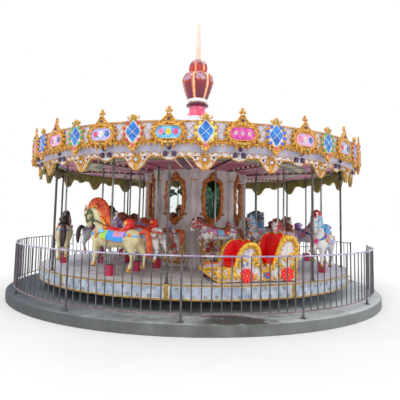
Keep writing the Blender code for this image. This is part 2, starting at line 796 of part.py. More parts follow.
def build():
    clear_scene()
    collection = new_collection("carousel")
    make_plinth(collection)
    make_bearing(collection)
    make_fence(collection)
    make_turntable_frame(collection)
    make_deck(collection)
    make_core(collection)
    make_canopy_sweeps(collection)
    make_cornice(collection)
    make_roof(collection)
    make_crown(collection)
    make_horses(collection)
    make_chariots(collection)


build()
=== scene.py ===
import math
from functools import partial

import bpy
import numpy as np
from mathutils import Matrix
from mathutils.geometry import tessellate_polygon


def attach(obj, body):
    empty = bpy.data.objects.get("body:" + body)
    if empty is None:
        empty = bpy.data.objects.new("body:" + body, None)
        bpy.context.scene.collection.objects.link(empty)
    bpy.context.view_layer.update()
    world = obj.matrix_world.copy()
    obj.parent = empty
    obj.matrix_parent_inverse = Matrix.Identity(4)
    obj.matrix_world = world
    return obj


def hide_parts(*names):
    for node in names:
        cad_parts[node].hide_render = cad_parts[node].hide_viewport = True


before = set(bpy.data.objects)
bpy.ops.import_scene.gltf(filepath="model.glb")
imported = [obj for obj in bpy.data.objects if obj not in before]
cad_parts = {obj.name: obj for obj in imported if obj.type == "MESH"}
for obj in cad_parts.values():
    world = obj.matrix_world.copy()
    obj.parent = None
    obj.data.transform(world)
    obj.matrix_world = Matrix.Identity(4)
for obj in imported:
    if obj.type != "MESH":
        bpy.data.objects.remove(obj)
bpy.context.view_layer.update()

# Fairground carousel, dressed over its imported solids. Metres, +Z up, the photograph's side towards -Y.
# Angles are in degrees round the centre, from the front towards +X. A flat part is drawn with
# x along the rim, y outwards and z up, and is then wrapped round the ride.

fullTurn = 2 * math.pi


# Meshes

# Evenly spaced turns of a full circle, in radians.
def turnsOf(count):
    return np.arange(count) * fullTurn / count


# Points round the ride's axis: x is the radius times the sine of the turn, y is minus the radius times its cosine.
def around(radius, turn, height=0.0):
    return np.stack(np.broadcast_arrays(radius * np.sin(turn), -radius * np.cos(turn), height), -1)


# A line drawn in (x, z), set at a depth in y.
def atDepth(line, depth):
    return np.insert(np.asarray(line, float), 1, depth, axis=1)


# Radii that swell along a line: one plus a share of the absolute sine, so many radians a point.
def scalloped(count, rate, share):
    return 1 + share * np.abs(np.sin(np.arange(count) * rate))


# Skin over rings of points: ring r is joined to ring r + 1 and closed on itself.
# The two ends are closed by fans to their middle points, or joined to each other when looped.
def loft(rings, slot=0, looped=False):
    rings = np.asarray(rings, float)
    rows, cols = rings.shape[:2]
    r, c = np.meshgrid(np.arange(rows if looped else rows - 1), np.arange(cols), indexing="ij")
    nextR, nextC = (r + 1) % rows, (c + 1) % cols
    corners = [r * cols + c, r * cols + nextC, nextR * cols + nextC, nextR * cols + c]
    quads = np.stack(corners, -1).reshape(-1, 4)
    points = rings.reshape(-1, 3)
    tris = np.zeros((0, 3), int)
    if not looped:
        points = np.vstack([points, rings[[0, -1]].mean(1)])
        c = np.arange(cols)
        after = (c + 1) % cols
        top = (rows - 1) * cols
        first = np.stack([after, c, np.full(cols, rows * cols)], -1)
        last = np.stack([top + c, top + after, np.full(cols, rows * cols + 1)], -1)
        tris = np.vstack([first, last])
    return {"points": points, "quads": quads, "tris": tris, "slot": slot}


# Several parts as one, each keeping its own finish: one slot for a part, or its slots by quad and by triangle.
def joined(parts):
    points, quads, tris, quadSlots, triSlots, start = [], [], [], [], [], 0
    for part in parts:
        slots = part["slot"]
        if np.isscalar(slots):
            slots = np.full(len(part["quads"]), slots), np.full(len(part["tris"]), slots)
        points.append(part["points"])
        quads.append(part["quads"] + start)
        tris.append(part["tris"] + start)
        quadSlots.append(slots[0])
        triSlots.append(slots[1])
        start += len(part["points"])
    return {"points": np.vstack(points), "quads": np.vstack(quads), "tris": np.vstack(tris),
            "slot": (np.concatenate(quadSlots), np.concatenate(triSlots))}


# Six times the enclosed volume, by the divergence theorem: negative means the faces point inwards.
def enclosed(part):
    p, q, t = part["points"] - part["points"].mean(0), part["quads"], part["tris"]
    triangles = np.vstack([q[:, [0, 1, 2]], q[:, [0, 2, 3]], t])
    a, b, c = (p[triangles[:, i]] for i in range(3))
    return np.einsum("ij,ij->", a, np.cross(b, c))


# A closed part with its faces turned outwards.
def facedOut(part):
    if enclosed(part) < 0:
        part = dict(part, quads=part["quads"][:, ::-1], tris=part["tris"][:, ::-1])
    return part


# A part carried by a matrix: each point is turned and scaled by its 3 by 3 corner, then shifted by its last column.
def moved(part, matrix):
    m = np.array(matrix)
    return dict(part, points=part["points"] @ m[:3, :3].T + m[:3, 3])


# The same, for a shift alone and for a shift with the part mirrored in y where side is -1.
def shifted(part, place, side=1):
    return moved(part, Matrix.Translation(place) @ Matrix.Diagonal((1, side, 1, 1)))


# Copies of a part at K sets of points, shape (K, N, 3).
def copiesOf(part, pointSets):
    count, size = len(pointSets), len(part["points"])
    starts = (np.arange(count) * size)[:, None, None]
    return {"points": np.asarray(pointSets).reshape(-1, 3), "slot": part["slot"],
            "quads": (part["quads"][None] + starts).reshape(-1, 4),
            "tris": (part["tris"][None] + starts).reshape(-1, 3)}


# Copies of a part shifted to each place.
def scattered(part, places):
    return copiesOf(part, part["points"][None] + np.asarray(places)[:, None])


# Wraps a flat part round the ride: x becomes arc length from each angle, y is added to the radius.
def wrapped(part, angles, radius):
    x, y, z = part["points"].T
    turn = np.radians(np.atleast_1d(angles))[:, None] + x[None, :] / radius
    return copiesOf(part, around(radius + y, turn, z))


# Tube along a path: a circle of the given radius, flattened across `up`, square to the path's tangent.
def tube(path, radii, sides=8, slot=0, up=(0, 1, 0), flat=1.0, looped=False):
    path = np.asarray(path, float)
    radii = np.broadcast_to(np.asarray(radii, float), len(path))
    ahead = np.roll(path, -1, 0) - np.roll(path, 1, 0) if looped else np.gradient(path, axis=0)
    ahead /= np.linalg.norm(ahead, axis=1, keepdims=True)
    side = np.cross(ahead, np.asarray(up, float))
    side /= np.linalg.norm(side, axis=1, keepdims=True)
    over = np.cross(side, ahead)
    phi = turnsOf(sides)
    ring = side[:, None] * np.cos(phi)[None, :, None] + flat * over[:, None] * np.sin(phi)[None, :, None]
    return loft(path[:, None] + ring * radii[:, None, None], slot, looped)


# Tube along a line drawn in (x, z) at a depth.
def bead(line, depth, radii, sides=6, slot=1, looped=False):
    return tube(atDepth(line, depth), radii, sides, slot, looped=looped)


# Smooth path through control points: a Catmull-Rom curve with `steps` points a span.
def smoothPath(points, steps=6, closed=False):
    p = np.asarray(points, float)
    ends = (p[-1:], p[:2]) if closed else (2 * p[:1] - p[1:2], 2 * p[-1:] - p[-2:-1])
    q = np.vstack([ends[0], p, ends[1]])
    spans = len(q) - 3
    t = np.tile(np.arange(steps) / steps, spans)
    k = np.repeat(np.arange(spans), steps)
    if not closed:
        t, k = np.append(t, 1.0), np.append(k, spans - 1)
    t = t.reshape(-1, *([1] * (p.ndim - 1)))
    a, b, c, d = q[k], q[k + 1], q[k + 2], q[k + 3]
    return 0.5 * (2 * b + (c - a) * t + (2 * a - 5 * b + 4 * c - d) * t**2 + (3 * b - a - 3 * c + d) * t**3)


# Turned shape: a (radius, height) profile spun round the z axis, its radius swollen by wave(angle).
def turned(profile, sides=48, slot=0, wave=None):
    radius, height = np.asarray(profile, float).T[:, :, None]
    phi = turnsOf(sides)
    return loft(around(radius * (wave(phi) if wave else 1.0), phi, height), slot)


# A closed (radius, height) profile carried round the ride from one angle to another, lifted by `lift`.
def swept(profile, start, end, steps, slot=0, lift=None):
    radius, height = np.asarray(profile, float).T
    whole = abs(end - start) >= 359.99
    angle = np.radians(np.linspace(start, end, steps, endpoint=not whole))[:, None]
    return loft(around(radius, angle, height + (lift(angle) if lift else 0.0)), slot, looped=whole)


# Raised flat shape: its outline shrinks to its middle while it rises in y, by (inset, depth) steps.
def relief(outline, steps, slot=0):
    outline = np.asarray(outline, float)
    middle = outline.mean(0)
    return loft([atDepth(middle + (outline - middle) * (1 - inset), depth) for inset, depth in steps], slot)


# Ball squashed along its axes, made of rings from pole to pole: radius by the sine of the tilt, height by its cosine.
def ball(size, sides=8, rings=5, slot=0, centre=(0, 0, 0)):
    tilt = np.linspace(0, math.pi, rings + 2)[1:-1]
    part = turned(np.stack([np.sin(tilt), np.cos(tilt)], -1), sides, slot)
    part["points"][-2:] = [(0, 0, 1), (0, 0, -1)]
    return dict(part, points=part["points"] * np.asarray(size) + np.asarray(centre))


# Outlines in (x, z)

# Ellipse with lobes: both half sizes swell by a share of the absolute sine of half the turn times the lobes.
def ellipseLine(width, height, count=40, centre=(0, 0), lobes=0, swell=0.0):
    phi = turnsOf(count)
    reach = 1 + swell * np.abs(np.sin(lobes * phi / 2))
    return np.stack([centre[0] + width / 2 * reach * np.sin(phi), centre[1] + height / 2 * reach * np.cos(phi)], -1)


# Disc or blossom with such an outline.
def medal(centre, width, height, rises, slot, count=20, lobes=0, swell=0.0):
    return relief(ellipseLine(width, height, count, centre, lobes, swell), rises, slot)


# Rectangle with quarter-round corners: each arc is its corner's middle plus the corner radius round a quarter turn.
def roundedLine(width, height, corner, centre=(0, 0), steps=4):
    turn = np.radians(np.linspace(0, 90, steps + 1))
    x, z = width / 2 - corner, height / 2 - corner
    arcs = []
    for sx, sz, start in ((1, 1, 0), (1, -1, 90), (-1, -1, 180), (-1, 1, 270)):
        a = turn + math.radians(start)
        arcs.append(np.stack([sx * x + corner * np.sin(a), sz * z + corner * np.cos(a)], -1))
    return np.vstack(arcs) + np.asarray(centre)


# Right half of an outline and its mirror image. The last point lies on the middle line and isn't repeated, nor is
# the first one where `last` is 0.
def mirrored(right, last=None):
    return np.vstack([right, right[-2:last:-1] * (-1, 1)])


# Leaf from its stalk at the middle of its foot: half width = sine of the way up, with lobed edges.
def leaf(foot, length, width, lean, rises, slot=1, lobes=3, steps=10):
    t = np.linspace(0, 1, steps + 1)
    half = width / 2 * np.sin(math.pi * t**0.75) ** 0.8 * (0.82 + 0.18 * np.abs(np.cos(lobes * math.pi * t)))
    side = np.concatenate([half, -half[-2:0:-1]])
    up = np.concatenate([t, t[-2:0:-1]]) * length
    c, s = math.cos(math.radians(lean)), math.sin(math.radians(lean))
    return relief(np.stack([foot[0] + side * c + up * s, foot[1] - side * s + up * c], -1), rises, slot)


# Scroll: a spiral tube that starts at a point, heads at an angle and curls by `turns`, thinning to its eye.
def scroll(start, heading, size, turns, thick, slot=1, sides=6, steps=22, depth=0.0, hand=1):
    t = np.linspace(0, 1, steps)
    bend = math.radians(heading) + hand * turns * fullTurn * t**1.25
    stride = size * (1 - 0.82 * t)
    line = [middle + np.cumsum(way(bend) * stride) / steps * math.pi for middle, way in zip(start, (np.cos, np.sin))]
    return bead(np.stack(line, -1), depth, thick * (0.45 + 0.55 * np.sin(math.pi * (0.18 + 0.75 * t))), sides, slot)


# The places of a mesh's points.
def placesOf(mesh):
    places = np.zeros(len(mesh.vertices) * 3)
    mesh.vertices.foreach_get("co", places)
    return places.reshape(-1, 3)


# A mesh of quads read back as a part, with its points at the places given.
def readBack(mesh, places):
    corners = np.zeros(len(mesh.loops), int)
    mesh.loops.foreach_get("vertex_index", corners)
    return {"points": places, "quads": corners.reshape(-1, 4), "tris": np.zeros((0, 3), int), "slot": 0}


# Parts as one object whose volume is remeshed with even quads.
def melting(name, parts, voxel):
    whole = joined([facedOut(part) for part in parts])
    mesh = bpy.data.meshes.new(name)
    mesh.from_pydata(whole["points"].tolist(), [], whole["quads"].tolist() + whole["tris"].tolist())
    forming = bpy.data.objects.new(name, mesh)
    bpy.context.scene.collection.objects.link(forming)
    melt = forming.modifiers.new("melt", "REMESH")
    melt.mode = "VOXEL"
    melt.voxel_size = voxel
    return forming


# What an object's modifiers make of it, as a mesh of its own.
def melted(forming):
    return bpy.data.meshes.new_from_object(forming.evaluated_get(bpy.context.evaluated_depsgraph_get()))


# Piece: all its parts in one mesh at the origin, riding a body. rest keeps the places before it was set in place.
def makePiece(name, parts, finishes, body, stands=(), sharp=38.0, rest=None):
    whole = joined([facedOut(part) for part in parts])
    mesh = bpy.data.meshes.new(name)
    quads, tris = whole["quads"], whole["tris"]
    mesh.vertices.add(len(whole["points"]))
    mesh.vertices.foreach_set("co", whole["points"].astype(np.float32).ravel())
    mesh.loops.add(quads.size + tris.size)
    mesh.loops.foreach_set("vertex_index", np.concatenate([quads.ravel(), tris.ravel()]).astype(np.int32))
    mesh.polygons.add(len(quads) + len(tris))
    starts = np.concatenate([np.arange(len(quads)) * 4, quads.size + np.arange(len(tris)) * 3])
    mesh.polygons.foreach_set("loop_start", starts.astype(np.int32))
    mesh.polygons.foreach_set("material_index", np.concatenate(whole["slot"]).astype(np.int32))
    if rest is not None:
        layer = mesh.attributes.new("rest", "FLOAT_VECTOR", "POINT")
        layer.data.foreach_set("vector", rest.astype(np.float32).ravel())
    mesh.update(calc_edges=True)
    mesh.validate()
    for finish in finishes:
        mesh.materials.append(finish)
    mesh.shade_smooth()
    mesh.set_sharp_from_angle(angle=math.radians(sharp))
    piece = bpy.data.objects.new(name, mesh)
    bpy.context.scene.collection.objects.link(piece)
    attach(piece, body)
    if stands:
        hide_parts(*stands)
    return piece


# Finishes

# sRGB hex to linear red, green, blue and alpha.
def toLinear(hexColour):
    parts = [int(hexColour[i:i + 2], 16) / 255 for i in (1, 3, 5)]
    return [p / 12.92 if p <= 0.04045 else ((p + 0.055) / 1.055) ** 2.4 for p in parts] + [1.0]


# Adds one node and gives back one of its outputs. Values fill its inputs in order: numbers, hex colours or outputs of
# other nodes. A named setting is an input where the node has it, or else a property. A kind in capitals is that
# operation of the Math node. Mix lays its third value, a colour, over its second where its first is 1.
def addNode(tree, kind, *values, output=None, stops=(), **settings):
    node = tree.nodes.new("ShaderNodeMath" if kind.isupper() else "ShaderNode" + kind)
    if kind.isupper():
        node.operation = kind
    if kind == "Mix":
        node.data_type = "RGBA"
    for key, value in [*zip((0, 6, 7) if kind == "Mix" else range(9), values), *settings.items()]:
        if isinstance(key, str) and key not in node.inputs:
            setattr(node, key, value)
        elif isinstance(value, bpy.types.NodeSocket):
            tree.links.new(value, node.inputs[key])
        else:
            node.inputs[key].default_value = toLinear(value) if isinstance(value, str) else value
    for index, (place, colour) in enumerate(stops):
        elements = node.color_ramp.elements
        element = elements[index] if index < len(elements) else elements.new(1.0)
        element.position = place
        element.color = toLinear(colour)
    return node.outputs[output or (2 if kind == "Mix" else 0)]


# A painted, cast or moulded surface. Its colour runs between its tones in soft patches. Over that lie the pattern's
# layers of mask and colour, a darker colour in the hollows that is painted shade, and dirt in blotches. Fine grain
# gives its bump. Sizes are in metres.
def makeFinish(name, tones, pattern=None, patch=0.3, gloss=(0.3, 0.45), metallic=0.0, coat=0.0, coatRoughness=0.12,
               sheen=0.0, ior=1.5, grain=0.004, bump=0.15, bumpDepth=0.001, dirt=None, dirtSize=0.12, dirtShare=0.5,
               hollowShade=None, hollowShadeDepth=0.8, rest=False):
    material = bpy.data.materials.new(name)
    material.use_nodes = True
    tree = material.node_tree
    add = partial(addNode, tree)
    shader = tree.nodes["Principled BSDF"]
    if rest:
        place = add("Attribute", attribute_name="rest", output="Vector")
    else:
        place = add("TexCoord", output="Object")
    patches = add("TexNoise", Vector=place, Scale=1 / patch, Detail=5.0, Roughness=0.6)
    tones = tones.split()
    stops = [(0.34 + 0.32 * i / max(len(tones) - 1, 1), tone) for i, tone in enumerate(tones)]
    colour = add("ValToRGB", patches, stops=stops)
    layers = pattern(add, place) if pattern else []
    # painted shade: where the mesh's pointiness shows a hollow, the darker colour is laid over
    if hollowShade:
        hollowness = add("NewGeometry", output="Pointiness")
        layers.append((add("MapRange", hollowness, 0.505, 0.43, 0.0, hollowShadeDepth), hollowShade))
    if dirt:
        spots = add("TexNoise", Vector=place, Scale=1 / dirtSize, Detail=8.0, Roughness=0.7)
        layers.append((add("MapRange", spots, 0.5, 0.78, 0.0, dirtShare), dirt))
    for mask, over in layers:
        colour = add("Mix", mask, colour, over)
    fine = add("TexNoise", Vector=place, Scale=1 / grain, Detail=3.0)
    tree.links.new(colour, shader.inputs["Base Color"])
    tree.links.new(add("MapRange", patches, 0.0, 1.0, *gloss), shader.inputs["Roughness"])
    tree.links.new(add("Bump", Strength=bump, Distance=bumpDepth, Height=fine), shader.inputs["Normal"])
    plain = {"Metallic": metallic, "Coat Weight": coat, "Coat Roughness": coatRoughness, "Sheen Weight": sheen}
    if metallic < 0.5:  # a metal keeps the default IOR
        plain["IOR"] = ior
    for key, value in plain.items():
        shader.inputs[key].default_value = value
    return material


# x, y and z of a place.
def axesOf(add, place):
    return add("SeparateXYZ", place).node.outputs


# Angle round the ride in degrees, radius and height, read from object coordinates.
def polar(add, place):
    x, y, z = axesOf(add, place)
    turn = add("ARCTAN2", x, add("MULTIPLY", y, -1.0))
    radius = add("SQRT", add("ADD", add("MULTIPLY", x, x), add("MULTIPLY", y, y)))
    return add("MULTIPLY", turn, 180 / math.pi), radius, z


# Mask of thin lines: 1 where a value lies within half a width of a whole number of periods.
def lines(add, value, period, width, shift=0.0):
    return add("LESS_THAN", add("PINGPONG", add("ADD", value, shift), period / 2), width / 2)


# Moulded fibreglass with gold paint: warm, half-gloss, with brown dirt in blotches and painted shade darkening the
# hollows.
giltLook = {"tones": "#9c6416 #d4922a #f6d27a", "patch": 0.04, "hollowShade": "#4c2608", "hollowShadeDepth": 0.95,
            "gloss": (0.2, 0.38), "coat": 0.25, "dirt": "#6e3c0e", "dirtSize": 0.03, "dirtShare": 0.6, "grain": 0.003,
            "bump": 0.3, "metallic": 0.25}
gilt = makeFinish("goldPaintOnFibreglass", **giltLook)
# Older, redder gold inside the ride, darker as painted shade for the parts out of the light.
darkGilt = makeFinish("agedGoldPaintInShade", **dict(giltLook, tones="#8a4512 #b8661c #d98c30", hollowShade="#3a1a0a",
                                              dirt="#5a2a10"))


# Gloss enamel over fibreglass, one per colour: wet-looking, with faint brush shading and painted shade in its hollows.
def enamel(label, tones, **extra):
    look = {"patch": 0.12, "gloss": (0.24, 0.4), "coat": 0.25, "grain": 0.006, "bump": 0.06, "hollowShade": "#40302a",
            "hollowShadeDepth": 0.35}
    return makeFinish("glossEnamel_" + label, tones, **dict(look, **extra))


white = enamel("white", "#cfccd6 #ebe9ee #fbfaf8", dirt="#9c95a0", dirtSize=0.05, dirtShare=0.35)
cream = enamel("cream", "#cbbf96 #e8dfb4 #f4edd0", dirt="#a09070", dirtSize=0.05, dirtShare=0.3)
red = enamel("red", "#a80414 #d20a18 #f0302a")
pink = enamel("pink", "#d24a9a #f07ab8 #ffa8d0")
blue = enamel("blue", "#0c50a8 #1876cc #3c9cec")
navy = enamel("navy", "#14205a #1c2f80 #30489c")
green = enamel("green", "#067038 #0c9a4c #38c878")
black = enamel("black", "#101014 #1c1c20 #2a2a2e")
# Cut glass paste set in the frames: deep colour, very smooth, bright facets.
jewelTones = {"blue": "#0a38c8 #2a78f8", "green": "#048a3c #20d070", "red": "#b00010 #f02028",
              "yellow": "#e8c000 #fff040", "violet": "#241038 #50306e", "pink": "#d81c80 #ff58b0",
              "silver": "#9aa4b4 #f4f8ff"}
jewels = {label: makeFinish("cutGlass_" + label, tones, patch=0.02, gloss=(0.08, 0.16), coat=0.4, coatRoughness=0.05,
                            grain=0.02, bump=0.5, bumpDepth=0.004, ior=1.6) for label, tones in jewelTones.items()}
print("finishes made")


# Floor, light and camera
viewLook = {"place": (-0.022, -11.97, 1.99), "tilt": 0.089, "roll": 0.021, "lens": 37.12, "sensor": 36.0,
            "shift": (0.0125, -0.0475), "far": 400.0}
# The floor's breadth, and how far it lies under the plinth's foot.
floorLook = {"breadth": 160, "drop": 0.004}
# Two soft suns: turn round the upright, height above the horizon, both in degrees, strength and spread in radians.
sunLook = {"keyLight": (-35, 52, 0.75, 0.4), "fillLight": (50, 30, 0.25, 0.9)}


# A new object in the scene, turned and placed by a matrix.
def placeObject(name, data, matrix):
    holder = bpy.data.objects.new(name, data)
    bpy.context.scene.collection.objects.link(holder)
    holder.matrix_world = matrix
    return holder


def makeStage():
    bpy.ops.mesh.primitive_plane_add(size=floorLook["breadth"], location=(0, 0, -floorLook["drop"]))
    floor = bpy.context.object
    floor.name = "studioFloor"
    matt = makeFinish("paleStudioFloor", "#f2f2f2 #f8f8f8", patch=4.0, gloss=(0.7, 0.85), bump=0.02)
    floor.data.materials.append(matt)
    world = bpy.data.worlds.new("softSky")
    bpy.context.scene.world = world
    world.use_nodes = True
    sky = world.node_tree.nodes["Background"].inputs
    sky[0].default_value, sky[1].default_value = toLinear("#ffffff"), 1.0
    for name, (spin, height, power, spread) in sunLook.items():
        sun = bpy.data.lights.new(name, "SUN")
        sun.energy, sun.angle = power, spread
        aim = Matrix.Rotation(math.radians(spin), 4, "Z") @ Matrix.Rotation(math.radians(90 - height), 4, "X")
        placeObject(name, sun, aim)
    camera = bpy.data.cameras.new("view")
    camera.lens = viewLook["lens"]
    camera.sensor_width = viewLook["sensor"]
    camera.shift_x, camera.shift_y = viewLook["shift"]
    camera.clip_end = viewLook["far"]
    turn = Matrix.Rotation(math.pi / 2 + viewLook["tilt"], 4, "X") @ Matrix.Rotation(viewLook["roll"], 4, "Z")
    bpy.context.scene.camera = placeObject("view", camera, Matrix.Translation(viewLook["place"]) @ turn)
    bpy.context.scene.view_settings.view_transform = "Standard"


makeStage()
print("stage set")


# Plinth, pedestal and frame keep their solids and take better finishes
def repaint(nodes, finish):
    for node in nodes:
        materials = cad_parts[node].data.materials
        for index in range(len(materials)):
            materials[index] = finish


# The kerb turns from dark blue grey at the left to pale grey at the right: painted shade at the left and painted light
# at the right. A brown damp patch lies on its top at the front, round x = 0.85 m, where the noise is high. Its upright
# face, below 197 mm, is darker: painted shade.
def concretePattern(add, place):
    x, y, z = axesOf(add, place)
    near = add("MapRange", add("ABSOLUTE", add("SUBTRACT", x, 0.85)), 0.95, 0.5)
    front = add("MULTIPLY", add("LESS_THAN", y, -4.1), add("GREATER_THAN", z, 0.197))
    damp = add("MapRange", add("TexNoise", Vector=place, Scale=2.2, Detail=6.0), 0.40, 0.50, 0.0, 0.9)
    # painted shade to the left and painted light to the right; the last layer is painted shade on the upright face
    return [(add("MapRange", x, -4.2, -0.3, 0.95, 0.0), "#4c5a68"),
            (add("MapRange", x, 0.8, 3.6, 0.0, 0.75), "#d6dfe2"),
            (add("MULTIPLY", add("MULTIPLY", near, front), damp), "#3e372f"),
            (add("MULTIPLY", add("LESS_THAN", z, 0.197), 0.72), "#464644")]


# Cast concrete, weathered and pitted, with rain stains.
concrete = makeFinish("weatheredConcrete", "#848886 #a4aaaa #c0c6c6", concretePattern, patch=0.4, dirt="#5c5650",
                      dirtSize=0.3, dirtShare=0.55, gloss=(0.75, 0.95), grain=0.006, bump=0.6, bumpDepth=0.003)
# Rolled steel under grease and road dirt: dull with oily patches, and nearly black as painted shade under the deck.
greasedSteelInShade = makeFinish("greasedSteelInShade", "#1c1a1a #2c2a2a #423c38", patch=0.2, dirt="#5a3a20", dirtSize=0.1,
                          gloss=(0.3, 0.6), metallic=0.6, bump=0.3)
repaint(["concrete_plinth"], concrete)
repaint(["bearing_pedestal", "turntable_frame"], greasedSteelInShade)

# Fence: two rails, turned posts and round balusters
fenceLook = {"ring": 4.712, "firstAngle": 81.0, "bays": 12, "bay": 27.9, "wideBay": 31.2, "wideFrom": 9, "bars": 12,
             "top": 1.329, "low": 0.330, "rail": 0.015, "railFlat": 0.8, "topRail": 0.026, "topFlat": 0.62,
             "bar": 0.012, "post": 0.020, "foot": 0.2023, "head": 1.363}
# Alkyd paint brushed on steel, as lit and shaded copies: dark violet grey on the bars as painted shade, pale lavender
# on the top rail as a painted highlight, pinkish rust on the lower one.
fencePaints = [makeFinish("brushedAlkyd" + label, tones, patch=0.25, dirt="#5c4440", dirtSize=0.06, dirtShare=0.75,
                          gloss=(0.3, 0.5), coat=0.3, grain=0.003, bump=0.25)
               for label, tones in (("Bar", "#34313a #4c4852 #6a6470"), ("TopRail", "#8880a0 #b0a8c8 #d4cee2"),
                                    ("LowRail", "#5c464e #7c606a #9c8088"))]


# Points on the fence's ring, evenly spaced from one angle to another.
def fencePath(start, end, steps=13):
    return around(fenceLook["ring"], np.radians(np.linspace(start, end, steps)))


def makeFence():
    look = fenceLook
    angles = [look["firstAngle"]]
    for bay in range(look["bays"]):
        angles.append(angles[-1] - (look["bay"] if bay < look["wideFrom"] else look["wideBay"]))
    bar = turned([(look["bar"], height) for height in (look["low"], 0.8, look["top"])], 8)
    post = turned([(0.058, look["foot"]), (0.058, 0.214), (0.030, 0.218), (0.026, 0.235), (look["post"], 0.25),
                   (look["post"], 1.330), (0.030, 1.334), (0.030, 1.345), (0.018, 1.351), (0.014, 1.358),
                   (0.004, look["head"])], 14)
    for bay in range(look["bays"]):
        start, end = angles[bay], angles[bay + 1]
        parts = [tube(fencePath(start, end) + (0, 0, height), size, 10, slot, (0, 0, 1), flat)
                 for height, size, flat, slot in ((look["low"], look["rail"], look["railFlat"], 2),
                                                  (look["top"], look["topRail"], look["topFlat"], 1))]
        parts.append(scattered(bar, fencePath(start, end, look["bars"] + 2)[1:-1]))
        # each bay carries the post at its start, and the last one also the post at its end
        parts.append(scattered(post, fencePath(start, end, 2)[:2 if bay == look["bays"] - 1 else 1]))
        makePiece(f"fenceBay{bay + 1}", parts, fencePaints, "ground", [f"fence_panel_{bay + 1}"])


makeFence()
print("fence built")

# Platform: deck boards, guide boxes, fascia
deckLook = {"edge": 4.114, "top": 0.735, "foot": 0.440, "quadrants": 4, "rosettes": 120, "petals": (0.066, 0.066),
            "button": (0.018, 0.018), "rows": (0.515, 0.655), "pilasters": 10, "pilasterAngle": -7.3,
            "pilasterWidth": 0.076}


# Tread plate in sheets: dark seams every 7.5 degrees and along four rings, paler and bluer towards both sides: painted
# light from the sky.
# Higher up it is the guide boxes, red with dark lids.
def deckPattern(add, place):
    turn, radius, height = polar(add, place)
    seams = add("MAXIMUM", lines(add, turn, 7.5, 0.16), lines(add, radius, 0.86, 0.012, 0.2))
    # painted light: paler and bluer with the distance from the middle in x
    return [(add("MapRange", add("ABSOLUTE", axesOf(add, place)[0]), 1.7, 3.4, 0.0, 0.85), "#d4dcf0"),
            (add("MULTIPLY", seams, 0.6), "#3a3430"),
            (add("GREATER_THAN", height, 0.7365), "#c42850"), (add("GREATER_THAN", height, 0.962), "#241c1c")]


# Tread plate under worn grey paint: matt, with a raised grain.
deckPaint = makeFinish("treadPlateWornPaint", "#a4a4a4 #bcbcbc #d2d2d0", deckPattern, patch=0.35, dirt="#767270",
                       dirtSize=0.2, dirtShare=0.55, gloss=(0.5, 0.75), grain=0.012, bump=0.6, bumpDepth=0.002)
# Pressed sheet in pale blue-white enamel, with rain streaks.
fasciaPaint = makeFinish("paleEnamelledSheet", "#9aa8c0 #b4c2d6 #ced8e6", patch=0.2, dirt="#76788c", dirtSize=0.08,
                         gloss=(0.3, 0.45), coat=0.3, grain=0.01)
# Enamels of the mouldings: a dusty grey white, and an ochre that stands for worn gold.
greyWhite = enamel("greyWhite", "#74727c #9c9aa6 #c4c2cc")
ochre = enamel("ochre", "#8a6424 #b08434 #ccaa60")


# Moulding of round section: a circle at (radius, height), swept round the ride from one angle to another.
def roundMoulding(radius, height, size, start, end, steps, slot=1, sides=6, lift=None):
    return swept(ellipseLine(2 * size, 2 * size, sides, (radius, height)), start, end, steps, slot, lift)


def makePlatform():
    look = deckLook
    repaint([f"deck_quadrant_{i + 1}" for i in range(look["quadrants"])], deckPaint)
    edge, foot, top = look["edge"], look["foot"], look["top"]
    middle, tall = (top + foot) / 2, top - foot
    band = [(edge + 0.001, foot + 0.01), (edge + 0.010, foot + 0.01), (edge + 0.010, top - 0.02),
            (edge + 0.001, top - 0.02)]
    parts = [swept(band, 0, 360, 180, 0)]
    for height, size, slot in ((top - 0.012, 0.014, 1), (top - 0.036, 0.007, 2), (foot + 0.014, 0.016, 1),
                               (foot + 0.040, 0.006, 2)):
        parts.append(roundMoulding(edge + 0.012, height, size, 0, 360, 180, slot, 8))
    petals = medal((0, 0), *look["petals"], [(0, 0.0), (0.05, 0.008), (0.30, 0.010), (0.50, 0.003)], 3, 16, 8, 0.12)
    button = medal((0, 0), *look["button"], [(0, 0.003), (0.15, 0.008), (0.5, 0.010)], 2, 8)
    for row, height in enumerate(look["rows"]):
        angles = (np.arange(look["rosettes"]) + 0.5 * row) * 360 / look["rosettes"]
        parts += [wrapped(shifted(flower, (0, 0.009, height)), angles, edge) for flower in (petals, button)]
    post = [relief(roundedLine(look["pilasterWidth"], tall - 0.02, 0.004, (0, middle), 1),
                   [(0, 0.0), (0.01, 0.020), (0.03, 0.024)], 1)]
    post += [tube([(x, 0.024, foot + 0.03), (x, 0.024, top - 0.03)], 0.006, 6, 1)
             for x in (-0.024, -0.008, 0.008, 0.024)]
    post += [relief(roundedLine(0.018, tall - 0.03, 0.004, (x, middle), 1), [(0, 0.0), (0.03, 0.016), (0.1, 0.018)], 2)
             for x in (-0.050, 0.050)]
    angles = look["pilasterAngle"] + np.arange(look["pilasters"]) * (360 / look["pilasters"])
    parts += [wrapped(part, angles, edge + 0.002) for part in post]
    makePiece("platformFascia", parts, [fasciaPaint, ochre, cream, greyWhite], "turntable")


makePlatform()
print("platform dressed")

# Cornice: a wall with the lattice, oval and diamond frames by turns, mouldings, scrolled valance and pendants
corniceLook = {"wall": 4.400, "inner": 4.180, "top": 3.790, "moulding": 3.410, "valance": 3.190, "foot": 3.140,
               "drop": 4.230, "lengths": 5, "nodeStart": 15.96, "length": 72.0, "frames": 8, "step": 9.0,
               "firstFrame": 20.06, "front": 4.418,
               "ovalCentre": 3.570, "oval": (0.564, 0.372), "ovalPlate": (0.60, 0.44), "picture": (0.500, 0.262, 0.118),
               "diamondCentre": 3.590, "waves": 240, "waveHeight": 0.010, "curlStep": 2.25, "dropStep": 1.5}


